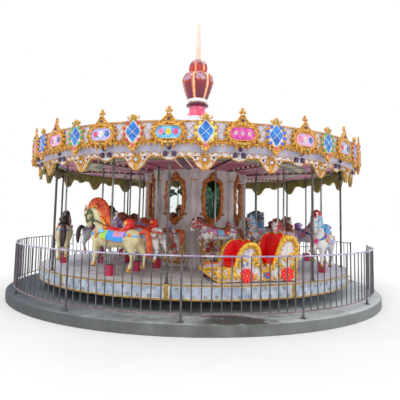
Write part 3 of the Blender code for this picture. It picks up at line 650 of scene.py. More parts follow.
# Diagonal lattice: two families of dark lines, cells 2 degrees wide and 190 mm high, on white and lilac.
def latticePattern(add, place):
    turn, _, height = polar(add, place)
    across, up = add("DIVIDE", turn, 2.0), add("DIVIDE", height, 0.19)
    rising, falling = add("ADD", across, up), add("SUBTRACT", across, up)
    cells = add("MODULO", add("ADD", add("FLOOR", rising), add("FLOOR", falling)), 2.0)
    crossing = add("MAXIMUM", lines(add, rising, 1.0, 0.07), lines(add, falling, 1.0, 0.07))
    return [(add("MULTIPLY", add("ABSOLUTE", cells), 0.55), "#cfc2dc"), (add("MULTIPLY", crossing, 0.85), "#4a4458")]


# Sheet in white enamel with painted lines: half-gloss, greyed by rain.
latticePaint = makeFinish("linedLatticeEnamel", "#bab2b0 #d4ccca #e8e2e0", latticePattern, patch=0.1, dirt="#8a8294",
                          dirtSize=0.05, dirtShare=0.4, coat=0.3, bump=0.1)
# Lavender grey enamel of the valance band, a little duller.
bandPaint = makeFinish("lavenderGreyEnamel", "#9c96ac #b2acc0 #cac6d6", patch=0.3, dirt="#827c92", dirtSize=0.15,
                       dirtShare=0.4, gloss=(0.35, 0.5), coat=0.2, bump=0.1)
# Bare fibreglass inside the rim: olive brown, dull, with resin runs.
innerShell = makeFinish("bareLaminateBack", "#7c7840 #9c9850 #bcb468", patch=0.2, dirt="#5c5830", gloss=(0.6, 0.8),
                        grain=0.008, bump=0.5)
# Glossy painted grounds of the ovals: magenta, pink, lilac blue and sky blue, clouded by hand.
pictures = [makeFinish(f"paintedPanel{i}", tones, patch=0.09, gloss=(0.25, 0.4), coat=0.2, bump=0.05)
            for i, tones in enumerate(("#c03090 #d84ca8 #ec80c8", "#e890c0 #f0b0d0 #c8b8f0", "#88a8e0 #b8c0ec #d8b0e0",
                                       "#3c98d8 #6cbcec #a8dcf4"))]
# Blossoms on each picture, by finish: white on magenta, bright ones on the others.
blossomTints = ((4, 4, 4), (18, 4, 5), (7, 4, 5), (18, 10, 7))
corniceFinishes = [latticePaint, gilt, bandPaint, innerShell, white, blue, jewels["green"], jewels["pink"],
                   jewels["violet"], jewels["silver"], jewels["yellow"], jewels["blue"], jewels["green"], jewels["red"],
                   *pictures, pink, green, navy, darkGilt]


# Oval frame: a beaded roll on a plate of darker gold that is painted shade, an inner rim round the picture, leaves
# laid round it, a pediment with its gem and a knob of three lobes, and curled horns.
def ovalFrame(theme):
    look = corniceLook
    centre = look["ovalCentre"]
    picture = roundedLine(*look["picture"], (0, centre + 0.002), 5)
    beads = 0.029 * (1 + 0.30 * np.abs(np.sin(12 * turnsOf(72))))
    parts = [medal((0, centre), *look["ovalPlate"], [(0, -0.03), (0, 0.020)], 21, 32),
             bead(ellipseLine(*look["oval"], 72, (0, centre)), 0.022, beads, 8, looped=True),
             bead(picture, 0.042, 0.013, looped=True),
             relief(picture, [(0, 0.0), (0.01, 0.030), (0.5, 0.031)], 14 + theme % 4)]
    # generic motif: three blossoms, with leaves on all grounds but the magenta one
    leafy = theme % 4 > 0
    for index, x in enumerate((-0.135, 0.0, 0.135)):
        width, height = (0.080, 0.095) if leafy else (0.050, 0.055)
        parts.append(medal((x, centre + 0.01), width, height, [(0, 0.030), (0.1, 0.040), (0.6, 0.036)],
                           blossomTints[theme % 4][index], 20, 5, 0.5))
        parts.append(ball((0.014, 0.012, 0.014), 8, 3, 1, (x, 0.042, centre + 0.01)))
        if leafy:
            parts.append(leaf((x, centre - 0.04), 0.080, 0.034, 80 - 40 * index, [(0, 0.030), (0.2, 0.037)], 19, 1, 6))
    # leaves laid along the outside of the roll, pointing down from the crest
    for hand in (-1, 1):
        for turn in (32, 56, 80, 104, 128, 152):
            spot = (hand * 0.300 * math.sin(math.radians(turn)), centre + 0.204 * math.cos(math.radians(turn)))
            rises = [(0, -0.02), (0.1, 0.030), (0.5, 0.046)]
            parts.append(leaf(spot, 0.115, 0.052, hand * (turn + 62), rises, 1, 2, 8))
        parts.append(scroll((hand * 0.215, 3.755), 90 - hand * 75, 0.085, 0.80, 0.016, depth=0.016, hand=-hand))
        parts.append(scroll((hand * 0.060, 3.340), 90 - hand * 95, 0.075, 0.75, 0.016, depth=0.016, hand=-hand))
    pediment = [(-0.205, 3.752), (-0.10, 3.812), (-0.045, 3.885), (0, 3.935), (0.045, 3.885), (0.10, 3.812),
                (0.205, 3.752), (0, 3.735)]
    parts.append(relief(pediment, [(0, -0.03), (0, 0.016), (0.12, 0.030), (0.2, 0.022), (0.4, 0.030)], 1))
    for hand in (-1, 1):
        edge = smoothPath([(hand * 0.20, 3.752), (hand * 0.105, 3.815), (hand * 0.050, 3.885), (hand * 0.022, 3.94)], 4)
        parts.append(bead(edge, 0.022, 0.016 * scalloped(13, 1.4, 0.3)))
    parts.append(ball((0.032, 0.026, 0.030), 10, 5, 8, (0, 0.036, 3.828)))
    parts.append(bead(ellipseLine(0.092, 0.088, 24, (0, 3.828)), 0.026, 0.011, looped=True))
    for x, z, size in ((0, 4.040, 0.036), (-0.042, 3.985, 0.031), (0.042, 3.985, 0.031), (0, 3.985, 0.030)):
        parts.append(ball((size, 0.026, size), 10, 5, 1, (x, 0.006, z)))
    parts.append(leaf((0, 3.375), 0.08, 0.075, 180, [(0, -0.02), (0.08, 0.035), (0.5, 0.05)], steps=8))
    parts.append(ball((0.018, 0.016, 0.022), 8, 3, 6, (0, 0.064, 3.372)))
    return parts


# Diamond frame: a thin gilt rim round a cream field, big round jewels on the rim, and a blue kite crossed by white
# lines, with a leaf and a cut gem above and below.
def diamondFrame(colourSlot):
    centre = corniceLook["diamondCentre"]
    right = smoothPath([(0, 0.262), (0.075, 0.195), (0.165, 0.115), (0.185, 0.0), (0.160, -0.115), (0.085, -0.195),
                        (0, -0.262)], 4)
    outline = mirrored(right, 0) + (0, centre)
    kite = smoothPath([(0, 0.205), (0.068, 0.130), (0.146, 0.012), (0.072, -0.110), (0, -0.200), (-0.072, -0.110),
                       (-0.146, 0.012), (-0.068, 0.130)], 3, closed=True) + (0, centre)
    parts = [relief(outline, [(0, -0.03), (0, 0.012), (0.3, 0.018)], 4),
             bead(outline, 0.014, 0.019 * scalloped(len(outline), 1.5, 0.25), looped=True),
             relief(kite, [(0, 0.010), (0.02, 0.028), (0.2, 0.036)], 5), bead(kite, 0.026, 0.005, 5, 4, looped=True)]
    for hand in (1, -1):
        line = [(-0.098 * hand, centre + 0.01 + 0.085), (0.085 * hand, centre + 0.01 - 0.090)]
        parts.append(bead(line, 0.039, 0.0045, 5, 4))
    for x, z in ((0.105, 0.160), (0.178, 0.070), (0.178, -0.045), (0.125, -0.150)):
        parts += [ball((0.033, 0.024, 0.034), 8, 4, colourSlot, (hand * x, 0.030, centre + z)) for hand in (-1, 1)]
    parts.append(leaf((0, 3.815), 0.13, 0.15, 0, [(0, -0.02), (0.06, 0.028), (0.5, 0.040)], steps=12))
    parts.append(relief([(0, 3.890), (0.022, 3.862), (0, 3.834), (-0.022, 3.862)], [(0, 0.03), (0.2, 0.054)], 6))
    for hand in (-1, 1):
        parts.append(scroll((hand * 0.050, 3.85), 90 - hand * 115, 0.065, 0.70, 0.014, depth=0.012, hand=hand))
        parts.append(scroll((hand * 0.115, 3.400), 90 - hand * 140, 0.075, 0.70, 0.016, depth=0.010, hand=-hand))
        parts += [leaf((hand * 0.17, centre + height), 0.085, 0.045, hand * (90 - height * 250),
                       [(0, -0.02), (0.1, 0.010), (0.5, 0.016)], 1, 2, 6) for height in (0.09, -0.09)]
    parts.append(leaf((0, 3.375), 0.17, 0.19, 180, [(0, -0.02), (0.06, 0.028), (0.5, 0.042)], steps=12))
    parts.append(relief([(0, 3.378), (0.034, 3.338), (0, 3.298), (-0.034, 3.338)], [(0, 0.03), (0.2, 0.056)], 7))
    return parts


# White plate of a pendant or bow with bare laminate behind it and a gilt bead along its outline. Its top points
# close the plate and have no bead.
def hungPlate(right, topPoints, rises, depth, size):
    outline = mirrored(smoothPath(right, 4))
    whole = np.vstack([outline, topPoints])
    return outline, [relief(whole, [(0, -0.002), *rises], 4), relief(whole * (1.02, 1), [(0, -0.040), (0, -0.003)], 3),
                     bead(outline, depth, size)]


# Pendant under each diamond: a wide white bracket with gilt edges, a disc with a silver jewel and a leaf tip.
def pendant():
    right = [(0.375, 3.172), (0.275, 3.140), (0.200, 3.065), (0.140, 2.975), (0.070, 2.910), (0.0, 2.885)]
    outline, parts = hungPlate(right, [(-0.15, 3.20), (0.15, 3.20)], [(0, 0.012), (0.08, 0.016)], 0.014, 0.013)
    parts.append(bead(outline[3:-3] * (0.86, 1) + (0, 0.030), 0.018, 0.006, 5))
    parts.append(medal((0, 3.08), 0.17, 0.18, [(0, 0.0), (0.1, 0.026), (0.5, 0.030)], 21, 24))
    beads = 0.024 * (1 + 0.25 * np.abs(np.sin(8 * turnsOf(32))))
    parts.append(bead(ellipseLine(0.164, 0.176, 32, (0, 3.080)), 0.026, beads, 8, looped=True))
    parts.append(ball((0.044, 0.024, 0.040), 12, 5, 9, (0, 0.034, 3.090)))
    parts.append(leaf((0, 3.005), 0.125, 0.12, 180, [(0, 0.0), (0.06, 0.024), (0.5, 0.034)]))
    for hand in (-1, 1):
        parts.append(ball((0.024, 0.014, 0.026), 8, 3, 8, (hand * 0.175, 0.018, 3.125)))
        parts.append(scroll((hand * 0.10, 3.03), 90 - hand * 20, 0.055, 0.7, 0.012, 1, 6, 12, 0.022, -hand))
        parts.append(tube([(hand * 0.085, 0.01, 3.15), (hand * 0.03, 0.02, 3.235), (0, 0.02, 3.27)], 0.009, 6, 1))
    return parts


# Bow under each oval: gilt and white scallop with three dark shields.
def bow():
    right = [(0.20, 3.185), (0.14, 3.125), (0.06, 3.085), (0.0, 3.076)]
    parts = hungPlate(right, [(0, 3.20)], [(0, 0.010), (0.1, 0.014)], 0.012, 0.012)[1]
    for x, y, z, lean, size in ((0.0, 0.110, 3.300, 0, 0.090), (-0.085, 0.045, 3.190, 26, 0.105),
                                (0.085, 0.045, 3.190, -26, 0.105)):
        gem = medal((0, 0), size, size * 1.1, [(0, -0.02), (0.08, 0.016), (0.45, 0.038)], 8, 6)
        parts.append(moved(gem, Matrix.Translation((x, y, z)) @ Matrix.Rotation(math.radians(lean), 4, "Y")))
    parts.append(medal((0, 3.16), 0.05, 0.10, [(0, 0.0), (0.2, 0.04)], 9, 12))
    return parts


def makeCornice():
    look = corniceLook
    inner, wall, top, drop, foot = (look[key] for key in ("inner", "wall", "top", "drop", "foot"))
    wallProfile = [(inner, top), (wall, top), (wall, look["moulding"]), (drop, look["valance"]), (drop, foot),
                   (inner, foot)]
    wallSlots = (4, 0, 2, 4, 1, 3)
    wallSteps = 48
    curl = [scroll((-0.03, 3.175), 70, 0.062, 0.62, 0.013, 1, 5, 12, 0.022),
            leaf((0.005, 3.185), 0.075, 0.034, 55, [(0, 0.0), (0.1, 0.026), (0.5, 0.036)], 1, 1, 5)]
    goldDrop = leaf((0, 3.400), 0.075, 0.070, 180, [(0, -0.03), (0.1, 0.010), (0.5, 0.020)], 1, 1, 5)

    # The mouldings' heights wave up and down with the sine of the angle.
    def wave(angle):
        return look["waveHeight"] * np.sin(angle * look["waves"])

    for node in range(look["lengths"]):
        start = look["nodeStart"] + look["length"] * node
        end = start + look["length"]
        shell = swept(wallProfile, start, end, wallSteps + 1)
        shell["slot"] = (np.tile(wallSlots, wallSteps), np.full(len(shell["tris"]), 3))
        parts = [shell, roundMoulding(wall + 0.006, top - 0.004, 0.016, start, end, 49)]
        for rise, size, reach in ((0.024, 0.016, 0.010), (-0.014, 0.020, 0.008)):
            parts.append(roundMoulding(wall + reach, look["moulding"] + rise, size, start, end, 241, lift=wave))
        parts.append(roundMoulding(drop + 0.006, foot + 0.006, 0.015, start, end, 97))
        # cream strip with curling leaves over the valance, and small gold drops under the upper moulding
        strip = [(drop, 3.150), (drop + 0.010, 3.152), (drop + 0.026, 3.250), (drop + 0.016, 3.256)]
        parts.append(swept(strip, start, end, 97, 4))
        for step, radius, row in ((look["curlStep"], drop + 0.008, curl), (look["dropStep"], wall - 0.012, [goldDrop])):
            places = start + step * (0.5 + np.arange(round(look["length"] / step)))
            parts += [wrapped(part, places, radius) for part in row]
        angles = look["firstFrame"] + look["length"] * node + np.arange(look["frames"]) * look["step"]
        parts += [wrapped(part, angles[0::2], drop) for part in pendant()]
        parts += [wrapped(part, angles[1::2], drop) for part in bow()]
        for place in range(look["frames"]):
            order = (look["frames"] * node + place + 2) // 2
            drawn = diamondFrame((10, 11, 12, 13)[order % 4]) if place % 2 == 0 else ovalFrame(order)
            parts += [wrapped(part, [angles[place]], look["front"]) for part in drawn]
        makePiece(f"corniceLength{node + 1}", parts, corniceFinishes, "turntable", [f"cornice_{node + 1}"],
                  45)


makeCornice()
print("cornice built")

# Under the canopy: rose ceiling panels with painted bands, dark-blue ribs, lamps, and the rim posts
canopyLook = {"inner": 0.56, "outer": 4.150, "low": 3.250, "thick": 0.018, "flat": 1.45, "slope": 0.0406, "slot": 0.05,
              "rib": 0.040, "lamp": (0.022, 0.022, 0.030), "lampStep": 0.17, "sweeps": 8, "sweepTurn": 45.0,
              "postRing": 4.060, "firstPost": -7.36, "deckTop": 0.7353}


# Bands by radius: rose near the middle, a green and gold border, a pink band with dark studs, a blue line.
def ceilingPattern(add, place):
    turn, radius, _ = polar(add, place)
    stops = [(0.0, "#c46a86"), (0.30, "#b0506c"), (0.42, "#c88aa0"), (0.50, "#6c8c68"), (0.56, "#c8c090"),
             (0.62, "#4c7a58"), (0.66, "#d05a90"), (0.78, "#d86a9c"), (0.86, "#4868b0"), (0.90, "#a8b050"),
             (0.94, "#7c7a44")]
    bands = add("ValToRGB", add("MapRange", radius, 1.2, 4.15), stops=stops)
    bands.node.color_ramp.interpolation = "CONSTANT"
    studs = add("MULTIPLY", lines(add, turn, 1.8, 0.55), lines(add, radius, 0.28, 0.05, 0.06))
    return [(0.85, bands), (add("MULTIPLY", studs, 0.7), "#3a1c34")]


# Painted ply panels: satin, a little grimy.
ceilingPaint = makeFinish("paintedCeilingPanel", "#a04860 #c06880 #d890a0", ceilingPattern, patch=0.25, dirt="#6c4448",
                          dirtSize=0.2, dirtShare=0.4, gloss=(0.4, 0.55))
# Galvanised post tube gone grey-brown: dull, streaked.
postSteel = makeFinish("greyPaintedTube", "#3c3a38 #55524e #726e68", patch=0.15, dirt="#6a4a34", dirtSize=0.05,
                       gloss=(0.3, 0.5), metallic=0.5, bump=0.2)
# Opal glass of the lamps, unlit: creamy and very smooth.
lampGlass = makeFinish("opalLampGlass", "#e8e0c0 #f8f4e0", patch=0.05, gloss=(0.08, 0.15), coat=0.8, bump=0.02)


def makeCanopy():
    look = canopyLook
    low, deck = look["low"], look["deckTop"]
    high = low + look["thick"]

    # The panel is level to `flat` from the middle and rises evenly from there to the rim.
    def rise(along):
        return look["slope"] * np.maximum(0.0, along - look["flat"])

    ribLine = [(0, -y, low - 0.022 + rise(y)) for y in np.linspace(look["inner"] + 0.9, look["outer"] - 0.16, 12)]
    ribs = [tube(ribLine, look["rib"], 8, 1, up=(0, 0, 1), flat=0.7)]
    ribs += [tube([(x, y, z - 0.006) for _, y, z in ribLine], 0.012, 6, 2, up=(0, 0, 1)) for x in (-0.055, 0.055)]
    spots = [(x, -y, low - 0.012 + rise(y)) for y in np.arange(1.75, 4.0, look["lampStep"]) for x in (-0.13, 0.13)]
    ribs.append(scattered(ball(look["lamp"], 8, 4, 3), spots))
    # radial beam over the panel
    section = [(0.05, 0.0), (0.05, 0.12), (-0.05, 0.12), (-0.05, 0.0)]
    ribs.append(loft([[(x, -y, high + z) for x, z in section] for y in (0.66, look["outer"] - 0.02)], 4))
    profile = [(0.052, deck), (0.052, deck + 0.012), (0.034, deck + 0.020), (0.030, deck + 0.06), (0.026, deck + 0.07),
               (0.026, 3.10), (0.034, 3.12), (0.034, 3.15), (0.026, 3.17), (0.030, 3.22), (0.045, low - 0.001)]
    post = turned(profile, 14, 4)
    radii = np.linspace(look["inner"], look["outer"], 20)[:, None]
    half = np.radians(look["sweepTurn"] / 2) - np.arcsin(look["slot"] / radii)
    across = np.concatenate([np.linspace(-1, 1, 13), np.linspace(1, -1, 13)])
    height = np.repeat([low, high], 13)
    for index in range(look["sweeps"]):
        angle = look["firstPost"] + look["sweepTurn"] * index
        turn = np.radians(angle) + half * across
        panel = loft(around(radii, turn, height + rise(radii * np.cos(turn - np.radians(angle)))), 0)
        aim = Matrix.Rotation(math.radians(angle), 4, "Z")
        parts = [panel, *(moved(part, aim) for part in ribs)]
        parts.append(moved(post, aim @ Matrix.Translation((0, -look["postRing"], 0))))
        makePiece(f"canopySweep{index + 1}", parts, [ceilingPaint, navy, darkGilt, lampGlass, postSteel], "turntable",
                  [f"canopy_sweep_{index + 1}"])


makeCanopy()
print("canopy underside built")

# Centre housing: panelled octagon with columns, mirrors in carved frames above and picture panels below.
# The mirror and the panel have their middle height, width and height.
coreLook = {"sides": 8, "sideTurn": 45.0, "corner": 1.37, "cornerAngle": -2.0, "low": 0.7353, "high": 3.2497,
            "mirror": (2.47, 0.46, 1.06), "panel": (1.245, 0.56, 0.80)}
# Sheet panels in warm grey enamel, half-gloss, dusty.
housingPaint = makeFinish("mauveGreyEnamelledPanel", "#beb6b6 #d4cecc #e6e2de", patch=0.5, dirt="#948c8c", dirtSize=0.2,
                          dirtShare=0.4, gloss=(0.35, 0.5), coat=0.2, bump=0.12)


# Every second glass is painted bright over its middle: a painted reflection of the sky. Pale scratches run where the
# silvering has cracked.
def mirrorPattern(add, place):
    turn, _, height = polar(add, place)
    side = add("FLOOR", add("DIVIDE", add("ADD", turn, 2.0), 45.0))
    bright = add("GREATER_THAN", add("ABSOLUTE", add("MODULO", side, 2.0)), 0.5)
    cloud = add("TexNoise", Vector=place, Scale=2.6, Detail=4.0, Distortion=1.2)
    cracks = lines(add, add("ADD", height, add("MULTIPLY", cloud, 1.4)), 0.17, 0.012)
    # painted reflection: bright clouds over the middle of every second glass
    return [(add("MULTIPLY", bright, add("MapRange", cloud, 0.44, 0.48)), "#eef2f2"),
            (add("MULTIPLY", cracks, 0.5), "#b8ccc4")]


# Silvered glass gone dark behind: nearly black and deep green, with a few bright places painted in as reflections of
# the sky.
mirrorGlass = makeFinish("silveredGlass", "#141c18 #1e3026 #2c4a3c #40604e", mirrorPattern, patch=0.45,
                         gloss=(0.03, 0.07), metallic=1.0, bump=0.03, grain=0.05)


# One face of the housing, drawn flat. Its glass has rounded ends: x follows the sine of the turn to the power 0.55 and
# z its cosine to the power 0.8, both with their sign kept; it is a little wider at the top.
def corePanel():
    middle, width, height = coreLook["mirror"]
    phi = turnsOf(64)
    sine, cosine = np.sin(phi), np.cos(phi)
    glass = np.stack([width / 2 * np.sign(sine) * np.abs(sine) ** 0.55 * (1 + 0.04 * cosine),
                      middle + height / 2 * np.sign(cosine) * np.abs(cosine) ** 0.8], -1)
    parts = [relief(glass, [(0, 0.0), (0.0, 0.012), (0.06, 0.014)], 1),
             bead(glass * (1.10, 1), 0.020, 0.036 * (1 + 0.75 * np.abs(np.sin(9 * phi))), 8, 2, looped=True),
             bead(glass, 0.030, 0.012, 6, 2, looped=True)]
    # sprays of leaves over and under the glass, and scrolls beside it
    for foot, lean, length, wide in ((3.005, 0, 0.21, 0.12), (3.005, -38, 0.17, 0.085), (3.005, 38, 0.17, 0.085),
                                     (3.005, -75, 0.15, 0.07), (3.005, 75, 0.15, 0.07), (1.935, 180, 0.17, 0.12),
                                     (1.935, 140, 0.15, 0.08), (1.935, -140, 0.15, 0.08)):
        parts.append(leaf((0, foot), length, wide, lean, [(0, 0.0), (0.06, 0.036), (0.5, 0.055)], 2))
    for hand in (-1, 1):
        for level, heading in ((2.86, 40), (2.47, 90), (2.10, 140)):
            start = (hand * 0.25, level)
            parts.append(scroll(start, 90 - hand * heading, 0.075, 0.7, 0.020, 2, depth=0.022, hand=hand))
    middle, width, height = coreLook["panel"]
    frameLine = roundedLine(width, height, 0.05, (0, middle), 4)
    inner = roundedLine(width - 0.10, height - 0.10, 0.09, (0, middle), 4)
    parts += [relief(frameLine, [(0, 0.0), (0.0, 0.010), (0.02, 0.012)], 3),
              bead(frameLine, 0.012, 0.034, 8, 4, looped=True), bead(inner, 0.014, 0.008, 6, 4, looped=True)]
    for x, z, heading in ((-0.2, 1.56, 135), (0.2, 1.56, 45), (-0.2, 0.93, 45), (0.2, 0.93, 135)):
        parts.append(scroll((x, z), heading, 0.085, 0.8, 0.024, 4, depth=0.018))
    # a spray of flowers in the lower panel
    for x, rise, size, tint in ((0.0, 0.05, 0.15, 5), (-0.10, -0.08, 0.11, 5), (0.11, -0.06, 0.12, 6),
                                (0.02, -0.19, 0.10, 6)):
        parts.append(medal((x, middle + rise), size, size, [(0, 0.010), (0.1, 0.026), (0.6, 0.020)], tint, 24, 6, 0.4))
        parts.append(ball((0.016, 0.014, 0.016), 8, 3, 4, (x, 0.028, middle + rise)))
    for lean, foot in ((-50, -0.10), (50, -0.10), (160, -0.15), (200, -0.15), (-100, 0.08), (100, 0.08)):
        parts.append(leaf((0, middle + foot), 0.17, 0.06, lean, [(0, 0.008), (0.2, 0.018)], 7, 2, 8))
    return parts


def makeCore():
    look = coreLook
    low, high = look["low"], look["high"]
    repaint(["centre_housing"], housingPaint)
    shaft = [(0.082, low + 0.20), (0.082, 1.6), (0.079, 2.4), (0.076, high - 0.22)]
    base = [(0.125, low), (0.125, low + 0.09), (0.110, low + 0.11), (0.118, low + 0.14), (0.095, low + 0.18),
            (0.086, low + 0.21)]
    cap = [(0.080, high - 0.24), (0.100, high - 0.22), (0.090, high - 0.19), (0.108, high - 0.13), (0.125, high - 0.11),
           (0.125, high - 0.05), (0.138, high - 0.04), (0.138, high)]
    ring = [(0.084, high - 0.30), (0.094, high - 0.29), (0.094, high - 0.28), (0.084, high - 0.27)]
    # twelve flutes: the shaft's radius follows the cosine
    column = [turned(shaft, 48, 0, lambda angle: 1 + 0.05 * np.cos(12 * angle)), turned(base, 20, 0),
              turned(cap, 20, 0), turned(ring, 16, 4)]
    drawn = corePanel()
    parts = []
    for side in range(look["sides"]):
        facing = look["cornerAngle"] + look["sideTurn"] / 2 + look["sideTurn"] * side
        place = Matrix.Rotation(math.radians(facing), 4, "Z") @ Matrix.Translation(
            (0, -look["corner"] * math.cos(math.pi / look["sides"]), 0)) @ Matrix.Diagonal((1, -1, 1, 1))
        parts += [moved(part, place) for part in drawn]
        corner = around(look["corner"], math.radians(look["cornerAngle"] + look["sideTurn"] * side))
        parts += [shifted(part, corner) for part in column]
    makePiece("centreCarving", parts, [housingPaint, mirrorGlass, darkGilt, cream, gilt, red, pink, green], "turntable")


makeCore()
print("centre housing dressed")

# Roof: one stretched sheet of coated cloth, sagging between its seams, and the crown on it
roofLook = {"rim": 4.352, "rimHeight": 3.7905, "eye": 0.26, "eyeHeight": 4.897, "gores": 20, "sag": 0.05,
            "thick": 0.003, "seam": 0.008, "hem": (4.350, 3.800, 0.012)}


# Coated cloth: radial welded seams, a little darker, every 18 degrees.
def roofPattern(add, place):
    return [(add("MULTIPLY", lines(add, polar(add, place)[0], 18.0, 0.35), 0.5), "#a49fb4")]


# Polyester cloth with a pale coating: matt, faintly lilac, with a soft sheen.
roofCloth = makeFinish("coatedPolyesterCloth", "#dcdaea #e8e6f2 #f4f3f8", roofPattern, patch=0.8, dirt="#b0aabf",
                       dirtSize=0.4, dirtShare=0.4, gloss=(0.5, 0.65), sheen=0.2, bump=0.3)


# Petal colours up the crown: maroon at the foot, red above, a lilac painted highlight at the rounded tips, with
# lilac-white lace there: the rims of small round cells.
def petalPattern(add, place):
    height = axesOf(add, place)[2]
    stops = [(0.0, "#58183c"), (0.05, "#681834"), (0.30, "#7c182e"), (0.46, "#a41c2c"), (0.60, "#7c2044"),
             (0.66, "#dc4c24"), (0.74, "#cc3030"), (0.84, "#941c3c"), (0.94, "#6c2860"), (1.0, "#b4a0d0")]
    # the lilac stop at the top is a painted highlight
    ramp = add("ValToRGB", add("MapRange", height, 5.47, 6.69), stops=stops)
    cells = add("TexVoronoi", Vector=place, Scale=20.0, feature="DISTANCE_TO_EDGE", output="Distance")
    low = add("MULTIPLY", add("GREATER_THAN", height, 5.98), add("LESS_THAN", height, 6.27))
    tips = add("MAXIMUM", low, add("GREATER_THAN", height, 6.53))
    lace = add("MULTIPLY", add("MULTIPLY", add("LESS_THAN", cells, 0.10), tips), 0.85)
    return [(0.88, ramp), (lace, "#dccce8")]


# Maroon enamel over metal flake: deep and glossy.
petalPaint = makeFinish("metallicMaroonEnamel", "#7a2448 #a03848 #d04840", petalPattern, patch=0.1, gloss=(0.28, 0.42),
                        coat=0.3, bump=0.05)
# The crown's own enamels: its rose neck, maroon disc, cream ribs with orange beside them, and its cream spire.
rose = enamel("rose", "#d83868 #f05880 #f890a8")
discMaroon = enamel("discMaroon", "#38081c #58102c #802448")
ribCream = enamel("ribCream", "#f0c880 #f8e4c0 #fff6e4")
ribOrange = enamel("ribOrange", "#c84a18 #e87828 #f8a050")
spirePaint = enamel("spireCream", "#e8cdb4 #eed8c2 #f4e4d4", patch=0.4)


# The slope is a smooth line from rim to eye. Between seams it sags by the sine of the way in times the absolute sine
# of the turn.
def makeRoof():
    look = roofLook
    slope = smoothPath([(look["rim"], look["rimHeight"]), (4.25, 3.850), (2.60, 4.100), (1.30, 4.455), (0.44, 4.893),
                        (look["eye"], look["eyeHeight"])], 6)
    turn = turnsOf(200)
    share = (look["rim"] - slope[:, :1]) / look["rim"]
    sag = look["sag"] * np.sin(math.pi * np.clip(share * 1.3, 0, 1)) * np.abs(np.sin(look["gores"] / 2 * turn))
    sheetRows = around(slope[:, :1], turn, slope[:, 1:] - sag)
    part = loft(np.concatenate([sheetRows, sheetRows[::-1] - (0, 0, look["thick"])]), 0, looped=True)
    cloth = makePiece("roofCloth", [part], [roofCloth], "turntable", ["roof_tent"], 60)
    seams = [tube(around(slope[1:-1, 0], math.radians(360 / look["gores"] * gore), slope[1:-1, 1] + 0.004),
                  look["seam"], 5, 0, up=(0, 0, 1)) for gore in range(look["gores"])]
    radius, height, size = look["hem"]
    hem = tube(around(radius, turn, height), size, 6, 0, up=(0, 0, 1), looped=True)
    makePiece("roofSeams", [*seams, hem], [roofCloth], "turntable")


# Crown: (radius, height) profiles from the neck up, and the arches and curls on its six petals
crownLook = {"petals": 6, "spin": 10.0, "archRadius": 0.44, "swells": {"big": 0.07, "small": 0.15}, "curlFoot": 5.92,
             "neck": [(0.349, 4.9005), (0.349, 4.930), (0.325, 4.955), (0.262, 5.050), (0.238, 5.130), (0.235, 5.235)],
             "disc": [(0.236, 5.236), (0.325, 5.268), (0.336, 5.290), (0.325, 5.305), (0.250, 5.335)],
             "cup": [(0.250, 5.330), (0.262, 5.350), (0.290, 5.370), (0.297, 5.420), (0.290, 5.455), (0.270, 5.4715)],
             "beads": ((5.345, 0.268), (5.462, 0.280)),
             "big": [(0.300, 5.4725), (0.335, 5.56), (0.395, 5.72), (0.440, 5.87), (0.454, 5.99), (0.440, 6.10),
                     (0.390, 6.20), (0.300, 6.262), (0.200, 6.275)],
             "small": [(0.200, 6.272), (0.255, 6.300), (0.284, 6.370), (0.284, 6.450), (0.262, 6.540), (0.205, 6.615),
                       (0.130, 6.665), (0.088, 6.6915)],
             "arch": [(-0.165, 5.98), (-0.150, 6.08), (-0.085, 6.17), (0, 6.195), (0.085, 6.17), (0.150, 6.08),
                      (0.165, 5.98)],
             "spire": [(0.0895, 6.6925), (0.080, 6.73), (0.073, 6.80), (0.068, 7.10), (0.052, 7.45), (0.0415, 7.70)],
             "tip": [(0.041, 7.79), (0.032, 7.806), (0.012, 7.811)]}


# A line drawn in (x, y), set at a height in z.
def atHeight(line, height):
    return np.insert(line, 2, height, axis=1)


# Petals between ribs: the radius swells by the absolute sine of three times the turn, to the power 0.6. The column on
# a rib takes the rib's colour, and those beside it the colour of its edge.
def petalled(profile, swell, sides=72):
    part = turned(smoothPath(profile, 5), sides, 0, lambda angle: 1 - swell + swell * np.abs(np.sin(3 * angle)) ** 0.6)
    band = np.tile([1, 2, *[0] * 9, 2], sides // 12)
    rows = len(part["quads"]) // sides
    part["slot"] = (np.tile(band, rows), np.zeros(len(part["tris"]), int))
    return moved(part, Matrix.Rotation(math.radians(crownLook["spin"] + 30), 4, "Z"))


# A flat part bent round the crown: x becomes arc length, and y plus what `lift` gives for each height is the radius.
def bentOn(part, facing, lift):
    x, y, z = part["points"].T
    return dict(part, points=around(lift(z) + y, math.radians(facing) + x / crownLook["archRadius"], z))


